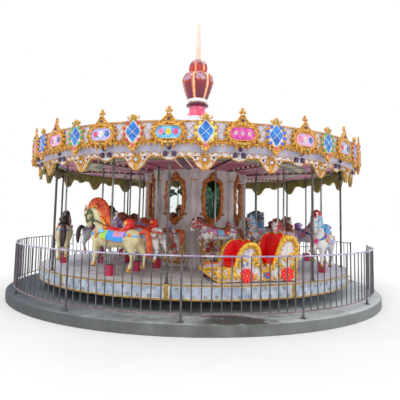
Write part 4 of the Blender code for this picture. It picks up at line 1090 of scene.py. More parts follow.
def makeCrown():
    look = crownLook
    parts = [turned(smoothPath(look["neck"], 4), 48, 0), turned(look["disc"], 48, 1),
             turned(smoothPath(look["cup"], 4), 48, 2)]
    for height, size in look["beads"]:
        ring = atHeight(ellipseLine(2 * size, 2 * size, 48), height)
        parts.append(tube(ring, 0.009, 6, 3, up=(0, 0, 1), looped=True))
    makePiece("crownNeck", parts, [rose, discMaroon, white, gilt], "turntable", ["crown_neck"])
    parts = [petalled(look[size], swell) for size, swell in look["swells"].items()]
    arch = smoothPath(look["arch"], 4)
    radius = np.interp(arch[:, 1], [5.9, 6.0, 6.1, 6.2], [0.452, 0.455, 0.443, 0.398]) + 0.004
    roll = tube(np.stack([arch[:, 0], radius, arch[:, 1]], -1), 0.010, 6, 2)

    # the petals' radius at each height, where the curls lie
    def skinAt(z):
        return np.interp(z, [5.8, 6.0, 6.1, 6.2], [0.435, 0.452, 0.440, 0.395]) + 0.004

    for petal in range(look["petals"]):
        facing = look["spin"] + 360 / look["petals"] * petal
        parts.append(bentOn(roll, facing, lambda z: 0.0))
        for hand in (-1, 1):
            start = (hand * 0.02, look["curlFoot"])
            curl = scroll(start, 90 - hand * 15, 0.075, 0.8, 0.010, 2, 5, 16, 0.0, -hand)
            parts.append(bentOn(curl, facing, skinAt))
    makePiece("crownBulb", parts, [petalPaint, ribCream, ribOrange], "turntable", ["crown_bulb"], 50)
    spire = turned(np.vstack([smoothPath(look["spire"], 4), look["tip"]]), 24, 0)
    makePiece("crownSpire", [spire], [spirePaint], "turntable", ["crown_spire"])


makeRoof()
makeCrown()
print("roof and crown built")

# Horses: one moulded figure, dressed and coloured differently for each place. In a horse's own frame the head is
# towards -x, the pole stands at x = 0, y = 0, and sizes are scaled about the saddle. Lists of pairs are (rank, row).
horseLook = {"ranks": 8, "firstRank": 15.04, "rankTurn": 45.0, "rowRings": (3.58, 2.63, 1.88), "chariotRanks": (0, 4),
             "arched": ((1, 0), (3, 0), (5, 0), (7, 0), (1, 2), (2, 2)), "cropped": ((1, 0), (3, 0), (1, 2), (2, 2)),
             "rowScales": (1.0, 0.90, 0.72), "saddle": 1.730, "voxel": 0.017, "pole": (0.0215, 0.766, 3.559),
             "stirrup": (1.20, 0.235), "lifts": ((0, -0.04, -0.03, 0.02, 0, -0.04, 0.03, 0),
                                                 (0, -0.03, 0.03, -0.02, 0, 0.04, -0.03, 0.03),
                                                 (0.02, 0.04, -0.02, 0.03, -0.03, 0.01, 0.04, -0.02))}
# Trunk from rump to chest: x, middle height, half height, half width.
trunk = np.array([(0.790, 1.535, 0.05, 0.05), (0.765, 1.54, 0.115, 0.10), (0.70, 1.535, 0.168, 0.150),
                  (0.58, 1.53, 0.200, 0.176), (0.40, 1.525, 0.192, 0.174), (0.20, 1.52, 0.190, 0.176),
                  (0.02, 1.525, 0.198, 0.178), (-0.16, 1.54, 0.206, 0.168), (-0.32, 1.55, 0.206, 0.156),
                  (-0.44, 1.55, 0.170, 0.128), (-0.505, 1.565, 0.08, 0.07)])


# Rings square to x, one for each x.
def ringsAt(x, y, z):
    return np.stack(np.broadcast_arrays(x[:, None], y, z), -1)


# The trunk's middle height, half height and half width at each x, read between its stations.
def trunkAt(x):
    return [np.interp(x, trunk[::-1, 0], trunk[::-1, i])[:, None] for i in (1, 2, 3)]


# Shell over the trunk between two places, wrapping to `reach` degrees from the top, `lift` off the skin: y is the half
# width times the sine of the turn, z the middle height plus the half height times its cosine, both grown by the lift.
def trunkShell(start, end, reach, lift, slot, steps, thick=0.010):
    x = np.linspace(start, end, steps)
    z, tall, wide = trunkAt(x)
    phi = np.radians(np.broadcast_to(reach, steps))[:, None] * np.linspace(-1, 1, 25)
    sheets = [ringsAt(x, (wide + grow) * np.sin(turn), z + (tall + grow) * np.cos(turn))
              for grow, turn in ((lift + thick, phi), (lift, phi[:, ::-1]))]
    return loft(np.concatenate(sheets, 1), slot)


# Limb through (x, z, radius) stations, smoothed.
def limb(stations, y, wide=1.0):
    path = smoothPath([(x, y, z, r) for x, z, r in stations], 5)
    return tube(path[:, :3], path[:, 3], 16, flat=wide)


# Cord through points, smoothed with `steps` a span.
def cord(points, steps, radii, slot, sides=6, up=(0, 1, 0), flat=1.0):
    return tube(smoothPath(points, steps), radii, sides, slot, up, flat)


# Two bodies: one with its neck arched and its head tucked in, and one that reaches forward. The cropped figure is the
# arched body with a lower mane. Each has its neck's stations, its crest's (x, z, radius), how far its locks fall,
# and the turn that carries the arched figure's head to its place.
neckStations = [(-0.16, 1.62, 0.150), (-0.27, 1.78, 0.152), (-0.36, 1.94, 0.138), (-0.445, 2.07, 0.120),
                (-0.55, 2.135, 0.102), (-0.63, 2.105, 0.088)]
headStations = [(-0.57, 2.125, 0.080), (-0.640, 2.070, 0.116), (-0.665, 1.98, 0.112), (-0.652, 1.885, 0.088),
                (-0.635, 1.815, 0.078), (-0.624, 1.765, 0.064), (-0.617, 1.738, 0.030)]
headTurn = Matrix.Translation((-0.63, 0, 1.95)) @ Matrix.Rotation(math.radians(21), 4, "Y") @ Matrix.Translation(
    (0.57, 0, -2.13))
figures = {
    "arched": {"neck": neckStations, "head": Matrix.Identity(4), "fall": 0.085,
               "crest": [(-0.655, 2.165, 0.040), (-0.60, 2.235, 0.066), (-0.50, 2.290, 0.090), (-0.36, 2.285, 0.104),
                         (-0.23, 2.19, 0.108), (-0.145, 2.04, 0.104), (-0.095, 1.90, 0.090), (-0.060, 1.78, 0.055)]},
    "cropped": {"neck": neckStations, "head": Matrix.Identity(4), "fall": 0.075,
                "crest": [(-0.655, 2.155, 0.030), (-0.60, 2.200, 0.044), (-0.50, 2.225, 0.058), (-0.38, 2.200, 0.066),
                          (-0.27, 2.10, 0.068), (-0.195, 1.97, 0.064), (-0.135, 1.85, 0.056), (-0.080, 1.76, 0.040)]},
    "reaching": {"neck": [(-0.16, 1.62, 0.150), (-0.30, 1.72, 0.145), (-0.44, 1.82, 0.125), (-0.56, 1.90, 0.105),
                          (-0.65, 1.93, 0.090)], "head": headTurn, "fall": 0.11,
                 "crest": [(-0.715, 1.955, 0.034), (-0.655, 2.020, 0.055), (-0.55, 2.030, 0.070), (-0.43, 1.965, 0.076),
                           (-0.31, 1.885, 0.076), (-0.21, 1.80, 0.068), (-0.13, 1.735, 0.045)]}}


# Points near the head, each carried by its share of the way to the figure's own head.
def carried(points, figure, shares):
    points = np.asarray(points, float)
    there = moved({"points": points}, figure["head"])["points"]
    share = np.asarray(shares, float)[:, None]
    return points * (1 - share) + there * share


# Legs: y and (x, z, radius) stations. Hooves: the hock's x, y and z, and the x and z of the foot.
legStations = [
    (-0.09, [(-0.27, 1.52, 0.125), (-0.32, 1.38, 0.086), (-0.355, 1.23, 0.056), (-0.362, 1.18, 0.052),
             (-0.372, 1.10, 0.036), (-0.38, 1.035, 0.043), (-0.385, 0.99, 0.036)]),
    (0.09, [(-0.29, 1.53, 0.125), (-0.43, 1.43, 0.086), (-0.545, 1.355, 0.056), (-0.565, 1.325, 0.052),
            (-0.53, 1.24, 0.036), (-0.48, 1.175, 0.043), (-0.455, 1.14, 0.036)]),
    (-0.09, [(0.56, 1.56, 0.165), (0.585, 1.40, 0.120), (0.635, 1.25, 0.072), (0.665, 1.17, 0.058),
             (0.640, 1.07, 0.038), (0.600, 0.965, 0.045), (0.585, 0.92, 0.038)]),
    (0.09, [(0.58, 1.56, 0.165), (0.68, 1.40, 0.118), (0.775, 1.27, 0.070), (0.805, 1.20, 0.056), (0.815, 1.12, 0.038),
            (0.80, 1.03, 0.045), (0.795, 0.995, 0.038)])]
hoofEnds = [(-0.385, -0.09, 0.995, -0.40, 0.945), (-0.455, 0.09, 1.145, -0.425, 1.095),
            (0.585, -0.09, 0.925, 0.565, 0.872), (0.795, 0.09, 1.00, 0.785, 0.945)]


# The figure's skin: overlapping rounded forms melted into one, then smoothed. The trunk's rings have y at the half
# width times the sine of the turn, and z at the middle plus the half height times its cosine.
def horseSkin(figure):
    x, z, tall, wide = smoothPath(trunk, 3).T[:, :, None]
    phi = turnsOf(24)
    heads = [limb(headStations, 0.0, 0.74)]
    forms = [loft(ringsAt(x[:, 0], wide * np.sin(phi), z + tall * np.cos(phi))), limb(figure["neck"], 0.0, 0.80)]
    forms += [limb(stations, y, 0.92) for y, stations in legStations]
    for side in (-1, 1):
        forms.append(ball((0.105, 0.075, 0.115), 12, 7, 0, (-0.30, side * 0.085, 1.50)))
        forms.append(ball((0.150, 0.080, 0.150), 12, 7, 0, (0.60, side * 0.095, 1.53)))
        heads.append(ball((0.066, 0.034, 0.074), 10, 5, 0, (-0.638, side * 0.056, 2.00)))
        heads.append(ball((0.028, 0.020, 0.024), 8, 5, 0, (-0.652, side * 0.042, 1.795)))
    forming = melting("horseForms", forms + [moved(form, figure["head"]) for form in heads], horseLook["voxel"])
    ease = forming.modifiers.new("ease", "SMOOTH")
    ease.factor, ease.iterations = 0.5, 6
    mesh = melted(forming)
    bpy.data.objects.remove(forming)
    return readBack(mesh, placesOf(mesh))


(coatSlot, maneSlot, tackSlot, clothSlot, edgeSlot, seatSlot, giltSlot, darkSlot, strapSlot, discSlot, poleSlot,
 whiteSlot, tipSlot) = range(13)


# Mane: a grooved crest along the neck's back, with locks that fall over both sides and end in paler tips.
def horseMane(seed, figure):
    crest = smoothPath(figure["crest"], 7)
    grooves = 1 + 0.06 * np.sin(np.arange(len(crest)) * 2.1 + seed)
    parts = [tube(atDepth(crest[:, :2], 0.0), crest[:, 2] * grooves, 16, maneSlot, flat=0.82)]
    for order, index in enumerate(np.linspace(4, len(crest) - 5, 14).astype(int)):
        x, z, size = crest[index]
        ahead = crest[index + 1, :2] - crest[index - 1, :2]
        inward = np.array([ahead[1], -ahead[0]]) / np.hypot(*ahead)
        inward = inward if inward[1] < 0.3 else -inward
        drop = figure["fall"] * (1 + 0.22 * math.sin(order * 1.9 + seed))
        for side in (-1, 1):
            lock = smoothPath([(x, side * 0.02, z + size * 0.72), (x + 0.010, side * size * 0.72, z + size * 0.30),
                               (x + inward[0] * 0.04, side * (size * 0.95 + 0.012), z - size * 0.45),
                               (x + 0.015 + inward[0] * 0.06, side * (size + 0.012), z - drop),
                               (x + 0.045, side * (size * 0.86 + 0.014), z - drop - 0.045)], 4)
            parts.append(tube(lock[:13], np.interp(np.arange(13), [0, 5, 12], [0.012, 0.030, 0.027]), 7, maneSlot))
            radii = np.interp(np.arange(6), [0, 2, 5], [0.016, 0.027, 0.004])
            parts.append(tube(lock[11:] + (0, side * 0.003, 0), radii, 7, tipSlot))
    # forelock
    for side, length in ((-1, 0.05), (0, 0.08), (1, 0.05)):
        lock = smoothPath([(-0.62, side * 0.02, 2.20), (-0.70, side * 0.035, 2.175), (-0.735, side * 0.045, 2.10),
                           (-0.735, side * 0.03, 2.10 - length)], 4)
        parts.append(tube(carried(lock, figure, np.ones(13)),
                          np.interp(np.arange(13), [0, 4, 8, 12], [0.018, 0.030, 0.022, 0.004]), 7, maneSlot))
    return parts


# Tail: seven locks from one root, spread by the sine and cosine of the lock's number.
def horseTail(seed):
    parts = []
    for lock in range(7):
        spread = 0.030 * math.sin(lock * 2.4 + seed)
        outer = 0.020 * math.cos(lock * 2.4 + seed)
        line = [(0.745, 0.0, 1.610), (0.82, spread * 0.5, 1.675 + outer * 0.6), (0.925, spread, 1.675 + outer),
                (0.990 + outer, spread * 1.3, 1.575), (1.012 + outer, spread * 1.5, 1.42),
                (1.020 + outer, spread * 1.2, 1.28 - 0.02 * lock % 0.06),
                (0.985 + outer, spread * 0.5, 1.18 + 0.02 * (lock % 3))]
        radii = np.interp(np.arange(25), [0, 6, 16, 24], [0.026, 0.042, 0.036, 0.005])
        parts.append(cord(line, 4, radii, maneSlot, 8))
    return parts


def horseTack(figure):
    parts = []
    # bridle: leaning rings round the muzzle and the forehead, straps along the cheeks, reins to the saddle
    phi = turnsOf(28)
    for x, z, across, deep, lean, size in ((-0.642, 1.885, 0.064, 0.086, 0.25, 0.016),
                                           (-0.650, 2.015, 0.088, 0.112, 0.35, 0.015),
                                           (-0.535, 2.080, 0.100, 0.114, 2.25, 0.016)):
        ring = np.stack([x + deep * np.cos(phi) * math.cos(lean), across * np.sin(phi),
                         z + deep * np.cos(phi) * math.sin(lean)], -1)
        parts.append(moved(tube(ring, size, 6, tackSlot, up=(0.2, 0.1, 1), looped=True), figure["head"]))
    for side in (-1, 1):
        straps = ([(-0.652, 0.064, 1.885), (-0.655, 0.088, 1.97), (-0.615, 0.094, 2.055), (-0.56, 0.092, 2.13)],
                  [(-0.638, 0.056, 1.835), (-0.560, 0.105, 1.88), (-0.44, 0.137, 1.90), (-0.30, 0.145, 1.88),
                   (-0.17, 0.120, 1.83), (-0.06, 0.05, 1.80)],
                  [(-0.65, 0.088, 2.10), (-0.56, 0.100, 2.13), (-0.47, 0.118, 2.07), (-0.41, 0.132, 1.95),
                   (-0.39, 0.140, 1.84)])
        for strap, shares in zip(straps, ((1, 1, 1, 1), (1, 0.75, 0.45, 0.2, 0, 0), (1, 1, 0.9, 0.75, 0.6))):
            parts.append(cord(carried(np.array(strap) * (1, side, 1), figure, shares), 5, 0.015, tackSlot))
        for y, z, slot in ((0.082, 1.845, giltSlot), (0.102, 2.035, discSlot)):
            parts.append(moved(ball((0.020, 0.014, 0.020), 8, 4, slot, (-0.645, side * y, z)), figure["head"]))
        # breast collar and crupper with their discs
        collar = [(-0.05, side * 0.168, 1.68), (-0.20, side * 0.176, 1.665), (-0.34, side * 0.160, 1.63),
                  (-0.455, side * 0.105, 1.575), (-0.512, 0, 1.545)]
        parts.append(cord(collar, 5, 0.036, strapSlot, 8, (0.25, side, 0), 0.36))
        breech = [(0.48, side * 0.172, 1.63), (0.60, side * 0.170, 1.60), (0.70, side * 0.148, 1.59),
                  (0.765, side * 0.085, 1.585), (0.792, 0, 1.58)]
        parts.append(cord(breech, 5, 0.025, strapSlot, 8, (-0.25, side, 0), 0.45))
        for x, y, z in ((-0.255, 0.184, 1.655), (0.635, 0.174, 1.60)):
            disc = medal((0, 0), 0.085, 0.085, [(0, 0.0), (0.05, 0.010), (0.5, 0.016)], discSlot, 20, 6, 0.25)
            parts.append(shifted(disc, (x, side * y, z), side))
            parts.append(ball((0.014, 0.010, 0.014), 8, 4, giltSlot, (x, side * (y + 0.016), z)))
            for lean in (160, 180, 200):
                tassel = leaf((0, -0.03), 0.115, 0.036, lean, [(0, 0.0), (0.1, 0.010), (0.5, 0.014)], giltSlot, 1, 6)
                parts.append(shifted(tassel, (x, side * (y - 0.004), z), side))
    girth = [(0.02, 0.180 * math.sin(a), 1.553 + 0.178 * math.cos(a)) for a in phi]
    parts.append(tube(girth, 0.020, 6, strapSlot, up=(1, 0, 0), looped=True))
    rosette = medal((0, 0), 0.105, 0.105, [(0, -0.01), (0.05, 0.012), (0.4, 0.018)], discSlot, 24, 8, 0.2)
    parts.append(moved(rosette, Matrix.Translation((-0.520, 0, 1.545)) @ Matrix.Rotation(math.radians(90), 4, "Z")))
    return parts


# Blanket of two layers with a rolled edge, a saddle, and a round cushion with a rosette at both ends behind it. The
# blanket's lower edge swings with the absolute sine of the way along it.
def horseSaddle():
    steps = 16
    t = np.linspace(0, 1, steps)
    reach = 92 + 18 * t + 5 * np.abs(np.sin(2.5 * math.pi * t))
    parts = [trunkShell(-0.13, 0.50, reach, 0.010, clothSlot, steps), trunkShell(-0.13, 0.02, 38, 0.020, edgeSlot, 10)]
    x = np.linspace(-0.13, 0.50, steps)
    z, tall, wide = (row[:, 0] for row in trunkAt(x))
    turn = np.radians(reach)
    for side in (-1, 1):
        edge = np.stack([x, side * (wide + 0.014) * np.sin(turn), z + (tall + 0.014) * np.cos(turn)], -1)
        over = [(0.50, side * (wide[-1] + 0.014) * math.sin(a), z[-1] + (tall[-1] + 0.014) * math.cos(a))
                for a in np.linspace(turn[-1], 0.2, 8)[1:]]
        parts.append(tube(np.vstack([edge, over]), 0.009, 6, edgeSlot))
    # seat: x, top, height and half width; its rings droop towards both sides
    seat = [(-0.06, 1.765, 0.04, 0.05), (-0.03, 1.785, 0.07, 0.08), (0.03, 1.775, 0.075, 0.105),
            (0.14, 1.748, 0.075, 0.130), (0.28, 1.744, 0.075, 0.138), (0.38, 1.768, 0.09, 0.142),
            (0.46, 1.815, 0.12, 0.142), (0.52, 1.845, 0.12, 0.13), (0.555, 1.84, 0.08, 0.10), (0.575, 1.83, 0.03, 0.05)]
    phi = turnsOf(24)
    x, top, tall, wide = smoothPath(seat, 3).T[:, :, None]
    y = wide * np.sin(phi)
    z = (top - tall / 2) + tall / 2 * np.cos(phi) - 0.35 * np.abs(y) * np.abs(np.sin(phi))
    parts.append(loft(ringsAt(x[:, 0], y, z), seatSlot))
    parts.append(ball((0.088, 0.130, 0.090), 16, 9, seatSlot, (0.480, 0, 1.852)))
    for side in (-1, 1):
        rosette = medal((0, 0), 0.075, 0.075, [(0, -0.03), (0.08, 0.010), (0.5, 0.016)], discSlot, 20, 7, 0.2)
        parts.append(shifted(rosette, (0.480, side * 0.122, 1.852), side))
        piping = [(-0.05, side * 0.05, 1.755), (0.03, side * 0.110, 1.70), (0.16, side * 0.136, 1.668),
                  (0.30, side * 0.146, 1.662), (0.40, side * 0.148, 1.70), (0.46, side * 0.148, 1.76)]
        parts.append(cord(piping, 4, 0.011, giltSlot))
        leather = [(0.06, side * 0.175, 1.60), (0.055, side * 0.188, 1.48), (0.04, side * 0.20, 1.36),
                   (0.02, side * 0.222, 1.23)]
        parts.append(cord(leather, 4, 0.012, tackSlot, flat=0.5))
    return parts


# Ears, eyes, nostrils and lips on the head; gilt hooves with dark soles.
def horseFace(figure):
    parts = []
    for side in (-1, 1):
        ear = smoothPath([(-0.600, side * 0.045, 2.150, 0.026), (-0.655, side * 0.058, 2.185, 0.032),
                          (-0.715, side * 0.062, 2.200, 0.022), (-0.765, side * 0.056, 2.195, 0.004)], 4)
        parts.append(tube(ear[:, :3], ear[:, 3], 10, coatSlot, flat=0.6))
        parts.append(ball((0.023, 0.013, 0.018), 10, 5, whiteSlot, (-0.700, side * 0.084, 2.030)))
        parts.append(ball((0.015, 0.011, 0.015), 8, 4, darkSlot, (-0.705, side * 0.091, 2.029)))
        parts.append(ball((0.010, 0.008, 0.014), 8, 4, darkSlot, (-0.690, side * 0.054, 1.800)))
        lip = [(-0.668, side * 0.030, 1.772), (-0.640, side * 0.045, 1.780), (-0.605, side * 0.046, 1.800)]
        parts.append(cord(lip, 3, 0.006, darkSlot, 5))
    parts = [moved(part, figure["head"]) for part in parts]
    for x, y, z, footX, footZ in hoofEnds:
        path = [(x, y, z + 0.012), (x, y, z), ((x + footX) / 2, y, (z + footZ) / 2), (footX, y, footZ)]
        parts.append(tube(path, (0.036, 0.043, 0.049, 0.056), 12, giltSlot, flat=0.95))
        ahead = np.array([footX - x, 0, footZ - z]) / math.hypot(footX - x, footZ - z)
        parts.append(tube([path[-1] + ahead * 0.001, path[-1] + ahead * 0.014], 0.057, 12, darkSlot, flat=0.95))
    return parts


# Polished pole with its foot bar and wire stirrups, the same size for every row.
def horsePole(scale):
    radius, low, high = horseLook["pole"]
    height, reach = horseLook["stirrup"]
    height = horseLook["saddle"] + scale * (height - horseLook["saddle"])
    reach *= scale
    parts = [turned([(radius, z) for z in (low, 1.3, 2.4, high)], 14, poleSlot),
             turned([(0.030, 1.33), (0.034, 1.35), (0.034, 1.37), (0.030, 1.39)], 14, giltSlot),
             tube([(0, -reach, height), (0, 0, height), (0, reach, height)], 0.011, 8, poleSlot, up=(0, 0, 1))]
    for side in (-1, 1):
        loop = [(x, side * reach, height - drop) for x, drop in ((0, 0), (-0.045, 0.07), (-0.06, 0.135), (0, 0.150),
                                                                 (0.06, 0.135), (0.045, 0.07))]
        parts.append(tube(smoothPath(loop, 4, closed=True), 0.008, 6, poleSlot, looped=True))
    return parts


# Painted blanket: its front panel, its main field, a square at the upper back corner and a round patch in that, by
# the place on the figure (x along it, z up), with a navy seam behind the front panel.
def clothPattern(tones, add, place):
    x, _, z = axesOf(add, place)
    corner = add("MULTIPLY", add("GREATER_THAN", x, 0.20), add("GREATER_THAN", z, 1.565))
    away = add("ADD", add("POWER", add("SUBTRACT", x, 0.31), 2.0), add("POWER", add("SUBTRACT", z, 1.62), 2.0))
    seam = add("LESS_THAN", add("ABSOLUTE", add("SUBTRACT", x, 0.03)), 0.012)
    panel, field, square, patch = tones.split()
    return [(1.0, field), (add("LESS_THAN", x, 0.03), panel), (corner, square), (add("LESS_THAN", away, 0.0012), patch),
            (seam, "#1c3c70")]


# Painted fibreglass of a figure and its tack: gloss paint that goes with the figure, a little grimy.
def horsePaint(label, tones, patch=0.35):
    return makeFinish("figure" + label, tones, patch=patch, gloss=(0.28, 0.42), coat=0.25, bump=0.06, rest=True,
                      dirt="#6c5c48", dirtShare=0.25, dirtSize=0.1)


# Hair: fine dark grooves along the locks.
def hairPattern(add, place):
    strands = add("TexWave", Vector=place, Scale=16.0, Distortion=5.0, Detail=2.0, bands_direction="DIAGONAL",
                  output="Fac")
    return [(add("MapRange", strands, 0.0, 0.35, 0.45, 0.0), "#5c1808")]


# Painted hair, glossier than the coat.
def hairPaint(label, tones):
    return makeFinish("mane" + label, tones, hairPattern, patch=0.12, gloss=(0.25, 0.4), coat=0.4, bump=0.2, rest=True)


coats = {"cream": horsePaint("Cream", "#bcb080 #d8cc9c #ebe2bc"),
         "white": horsePaint("White", "#c8c6ca #e2e0e2 #f4f2f0"),
         "grey": horsePaint("Grey", "#a8a8b0 #cccbd2 #e8e8ea"), "tan": horsePaint("Tan", "#b88848 #d8b070 #f0d8a8"),
         "dapple": horsePaint("Dapple", "#f4f4f2 #ffffff #202024 #f0f0f0", 0.13),
         "pinto": horsePaint("Pinto", "#f8f6f4 #ffffff #ffffff #8a4c28 #f8f4ee", 0.22)}
hairTones = {"orange": "#a82808 #d84410 #f47a20", "brown": "#5c2c18 #884428 #b06a3c", "teal": "#0c3c50 #1c6074 #4890a0",
             "black": "#1c161c #302430 #54404c", "gold": "#b07820 #dca63c #f4d078", "red": "#901414 #c82820 #ec5c38"}
tipTones = {"orange": "#f8b840", "brown": "#b87848", "teal": "#58a0b0", "black": "#4c3c44", "gold": "#f8e090",
            "red": "#f06848"}
manes = {label: hairPaint(label.title(), tones) for label, tones in hairTones.items()}
tipPaints = {label: hairPaint(label.title() + "Tip", f"{tone} {tone}") for label, tone in tipTones.items()}
# Blankets in four bright sets of gloss paint: front panel, field, corner square and round patch.
cloths = [makeFinish(f"blanketPaint{i}", "#ffffff", partial(clothPattern, tones), gloss=(0.25, 0.4), coat=0.4,
                     bump=0.08, rest=True)
          for i, tones in enumerate(("#a4dc28 #2c9cec #c890e0 #f08830", "#e88cb0 #7cc4f0 #d02848 #f0c030",
                                     "#e85898 #b078d0 #48b4d0 #e8e060", "#e87028 #3070c8 #f0e0b0 #a02850"))]
(bridleGreen, strapBlue, strapRed, strapLilac, strapRoyal, seatRed, seatBrown, discOrange, discMagenta, hoofDark) = (
    horsePaint(label, tones) for label, tones in (
        ("Bridle", "#142c20 #24483a #3c6450"), ("BlueStrap", "#3c90d8 #64b4ec #98d4f8"),
        ("RedStrap", "#b01828 #d83040 #f06060"), ("LilacStrap", "#7850a8 #a07cc8 #c8a8e0"),
        ("RoyalStrap", "#14408c #1c58b4 #4c88d8"), ("SeatRed", "#c00c14 #e01c20 #f44434"),
        ("SeatBrown", "#683018 #8c4c2c #b07850"), ("OrangeDisc", "#d86018 #f08830 #f8b050"),
        ("MagentaDisc", "#c01870 #e03890 #f068b0"), ("Dark", "#141414 #241c1c")))
# Poles and stirrups of polished steel: smooth, greyish, with long highlights.
polishedSteel = makeFinish("polishedPoleSteel", "#5e625c #7e827a #a4a8a0", patch=0.6, gloss=(0.22, 0.3), metallic=0.9,
                           bump=0.05)
# Colour sets: coat, mane, bridle, blanket, straps, discs, seat.
colourSets = [("cream", "orange", bridleGreen, 0, strapBlue, discOrange, seatRed),
              ("pinto", "brown", strapRed, 1, strapLilac, discMagenta, seatBrown),
              ("pinto", "teal", strapBlue, 2, strapBlue, discOrange, strapBlue),
              ("white", "red", strapBlue, 3, strapRoyal, discMagenta, strapBlue),
              ("tan", "gold", strapRed, 2, strapLilac, discOrange, seatRed),
              ("dapple", "brown", strapLilac, 1, strapRed, discOrange, seatRed),
              ("white", "brown", strapRed, 0, strapLilac, discMagenta, seatBrown),
              ("cream", "black", bridleGreen, 3, strapBlue, discOrange, hoofDark),
              ("white", "orange", strapLilac, 2, strapRoyal, discMagenta, strapLilac),
              ("grey", "black", strapLilac, 2, strapLilac, discMagenta, hoofDark),
              ("pinto", "brown", strapLilac, 1, strapRed, discOrange, seatRed)]
# Colour set by rank and row, after the photograph where a horse shows.
chosenSets = ((0, 0, 1), (3, 6, 2), (8, 6, 2), (2, 0, 4), (0, 0, 3), (9, 6, 4), (7, 5, 5), (0, 10, 8))


# The place on the ride at an angle and radius, raised by a height, for what faces outwards there.
def standing(angle, radius, height=0.0):
    turn = math.radians(angle)
    place = (radius * math.sin(turn), -radius * math.cos(turn), height)
    return Matrix.Translation(place) @ Matrix.Rotation(turn, 4, "Z")


def makeHorses():
    look = horseLook
    skins = {label: horseSkin(figures[label]) for label in ("arched", "reaching")}
    skins["cropped"] = skins["arched"]
    for rank in range(look["ranks"]):
        for row, ring in enumerate(look["rowRings"]):
            if rank in look["chariotRanks"] and row < 2:
                continue
            scale, seat = look["rowScales"][row], (rank, row)
            label = "reaching" if seat not in look["arched"] else "cropped" if seat in look["cropped"] else "arched"
            figure, seed = figures[label], rank + 3 * row
            parts = [skins[label], *horseMane(seed, figure), *horseTail(seed), *horseTack(figure), *horseSaddle(),
                     *horseFace(figure)]
            about = Matrix.Translation((0, 0, look["saddle"])) @ Matrix.Scale(scale, 4) @ Matrix.Translation(
                (0, 0, -look["saddle"]))
            parts = [moved(part, about) for part in parts] + horsePole(scale)
            rest = np.vstack([part["points"] for part in parts])
            place = standing(look["firstRank"] + look["rankTurn"] * rank, ring, look["lifts"][row][rank])
            coat, mane, bridle, cloth, strap, disc, saddle = colourSets[chosenSets[rank][row]]
            finishes = [coats[coat], manes[mane], bridle, cloths[cloth], seatRed, saddle, gilt, hoofDark, strap, disc,
                        polishedSteel, white, tipPaints[mane]]
            tag = f"{rank + 1}{'abc'[row]}"
            makePiece("figure" + tag, [moved(part, place) for part in parts], finishes, "horse_" + tag,
                      ["horse_" + tag], 50, rest)


makeHorses()
print("horses built")

# Chariots: moulded sides with gilt scrolls and flower wheels, and two upholstered seats in each.
# In a chariot's own frame it heads towards -x and its outer side is at -y. A seat has its ends in x, top and crest;
# the floor its ends in x and z; a prow station its x, half width, foot and top.
chariotLook = {"ring": 3.35, "angles": (15.04, 195.04), "half": 0.48, "sideThick": 0.06,
               "floor": (-0.50, 1.08, 0.7403, 0.790), "seats": ((-0.22, 0.20, 1.08, 1.55), (0.48, 0.95, 1.20, 1.70)),
               "foldAt": -0.52, "foldTurn": 60, "padVoxel": 0.010, "padCap": 0.018, "padPressure": 4.0,
               "padTension": 25.0, "padBending": 1.5, "frames": 20, "fill": 0.8}
prowStations = [(-0.50, 0.478, 0.745, 1.025), (-0.58, 0.378, 0.785, 1.015), (-0.65, 0.272, 0.830, 0.995),
                (-0.71, 0.165, 0.875, 0.975), (-0.75, 0.050, 0.910, 0.955)]
sideOutline = [(-0.56, 0.748), (-0.20, 0.745), (0.28, 0.745), (1.09, 0.748), (1.12, 1.05), (1.175, 1.45), (1.10, 1.61),
               (0.95, 1.675), (0.80, 1.60), (0.70, 1.30), (0.60, 1.07), (0.47, 1.005), (0.365, 1.12), (0.325, 1.38),
               (0.22, 1.51), (0.06, 1.50), (-0.08, 1.36), (-0.155, 1.12), (-0.22, 1.03), (-0.38, 1.015), (-0.56, 1.035)]
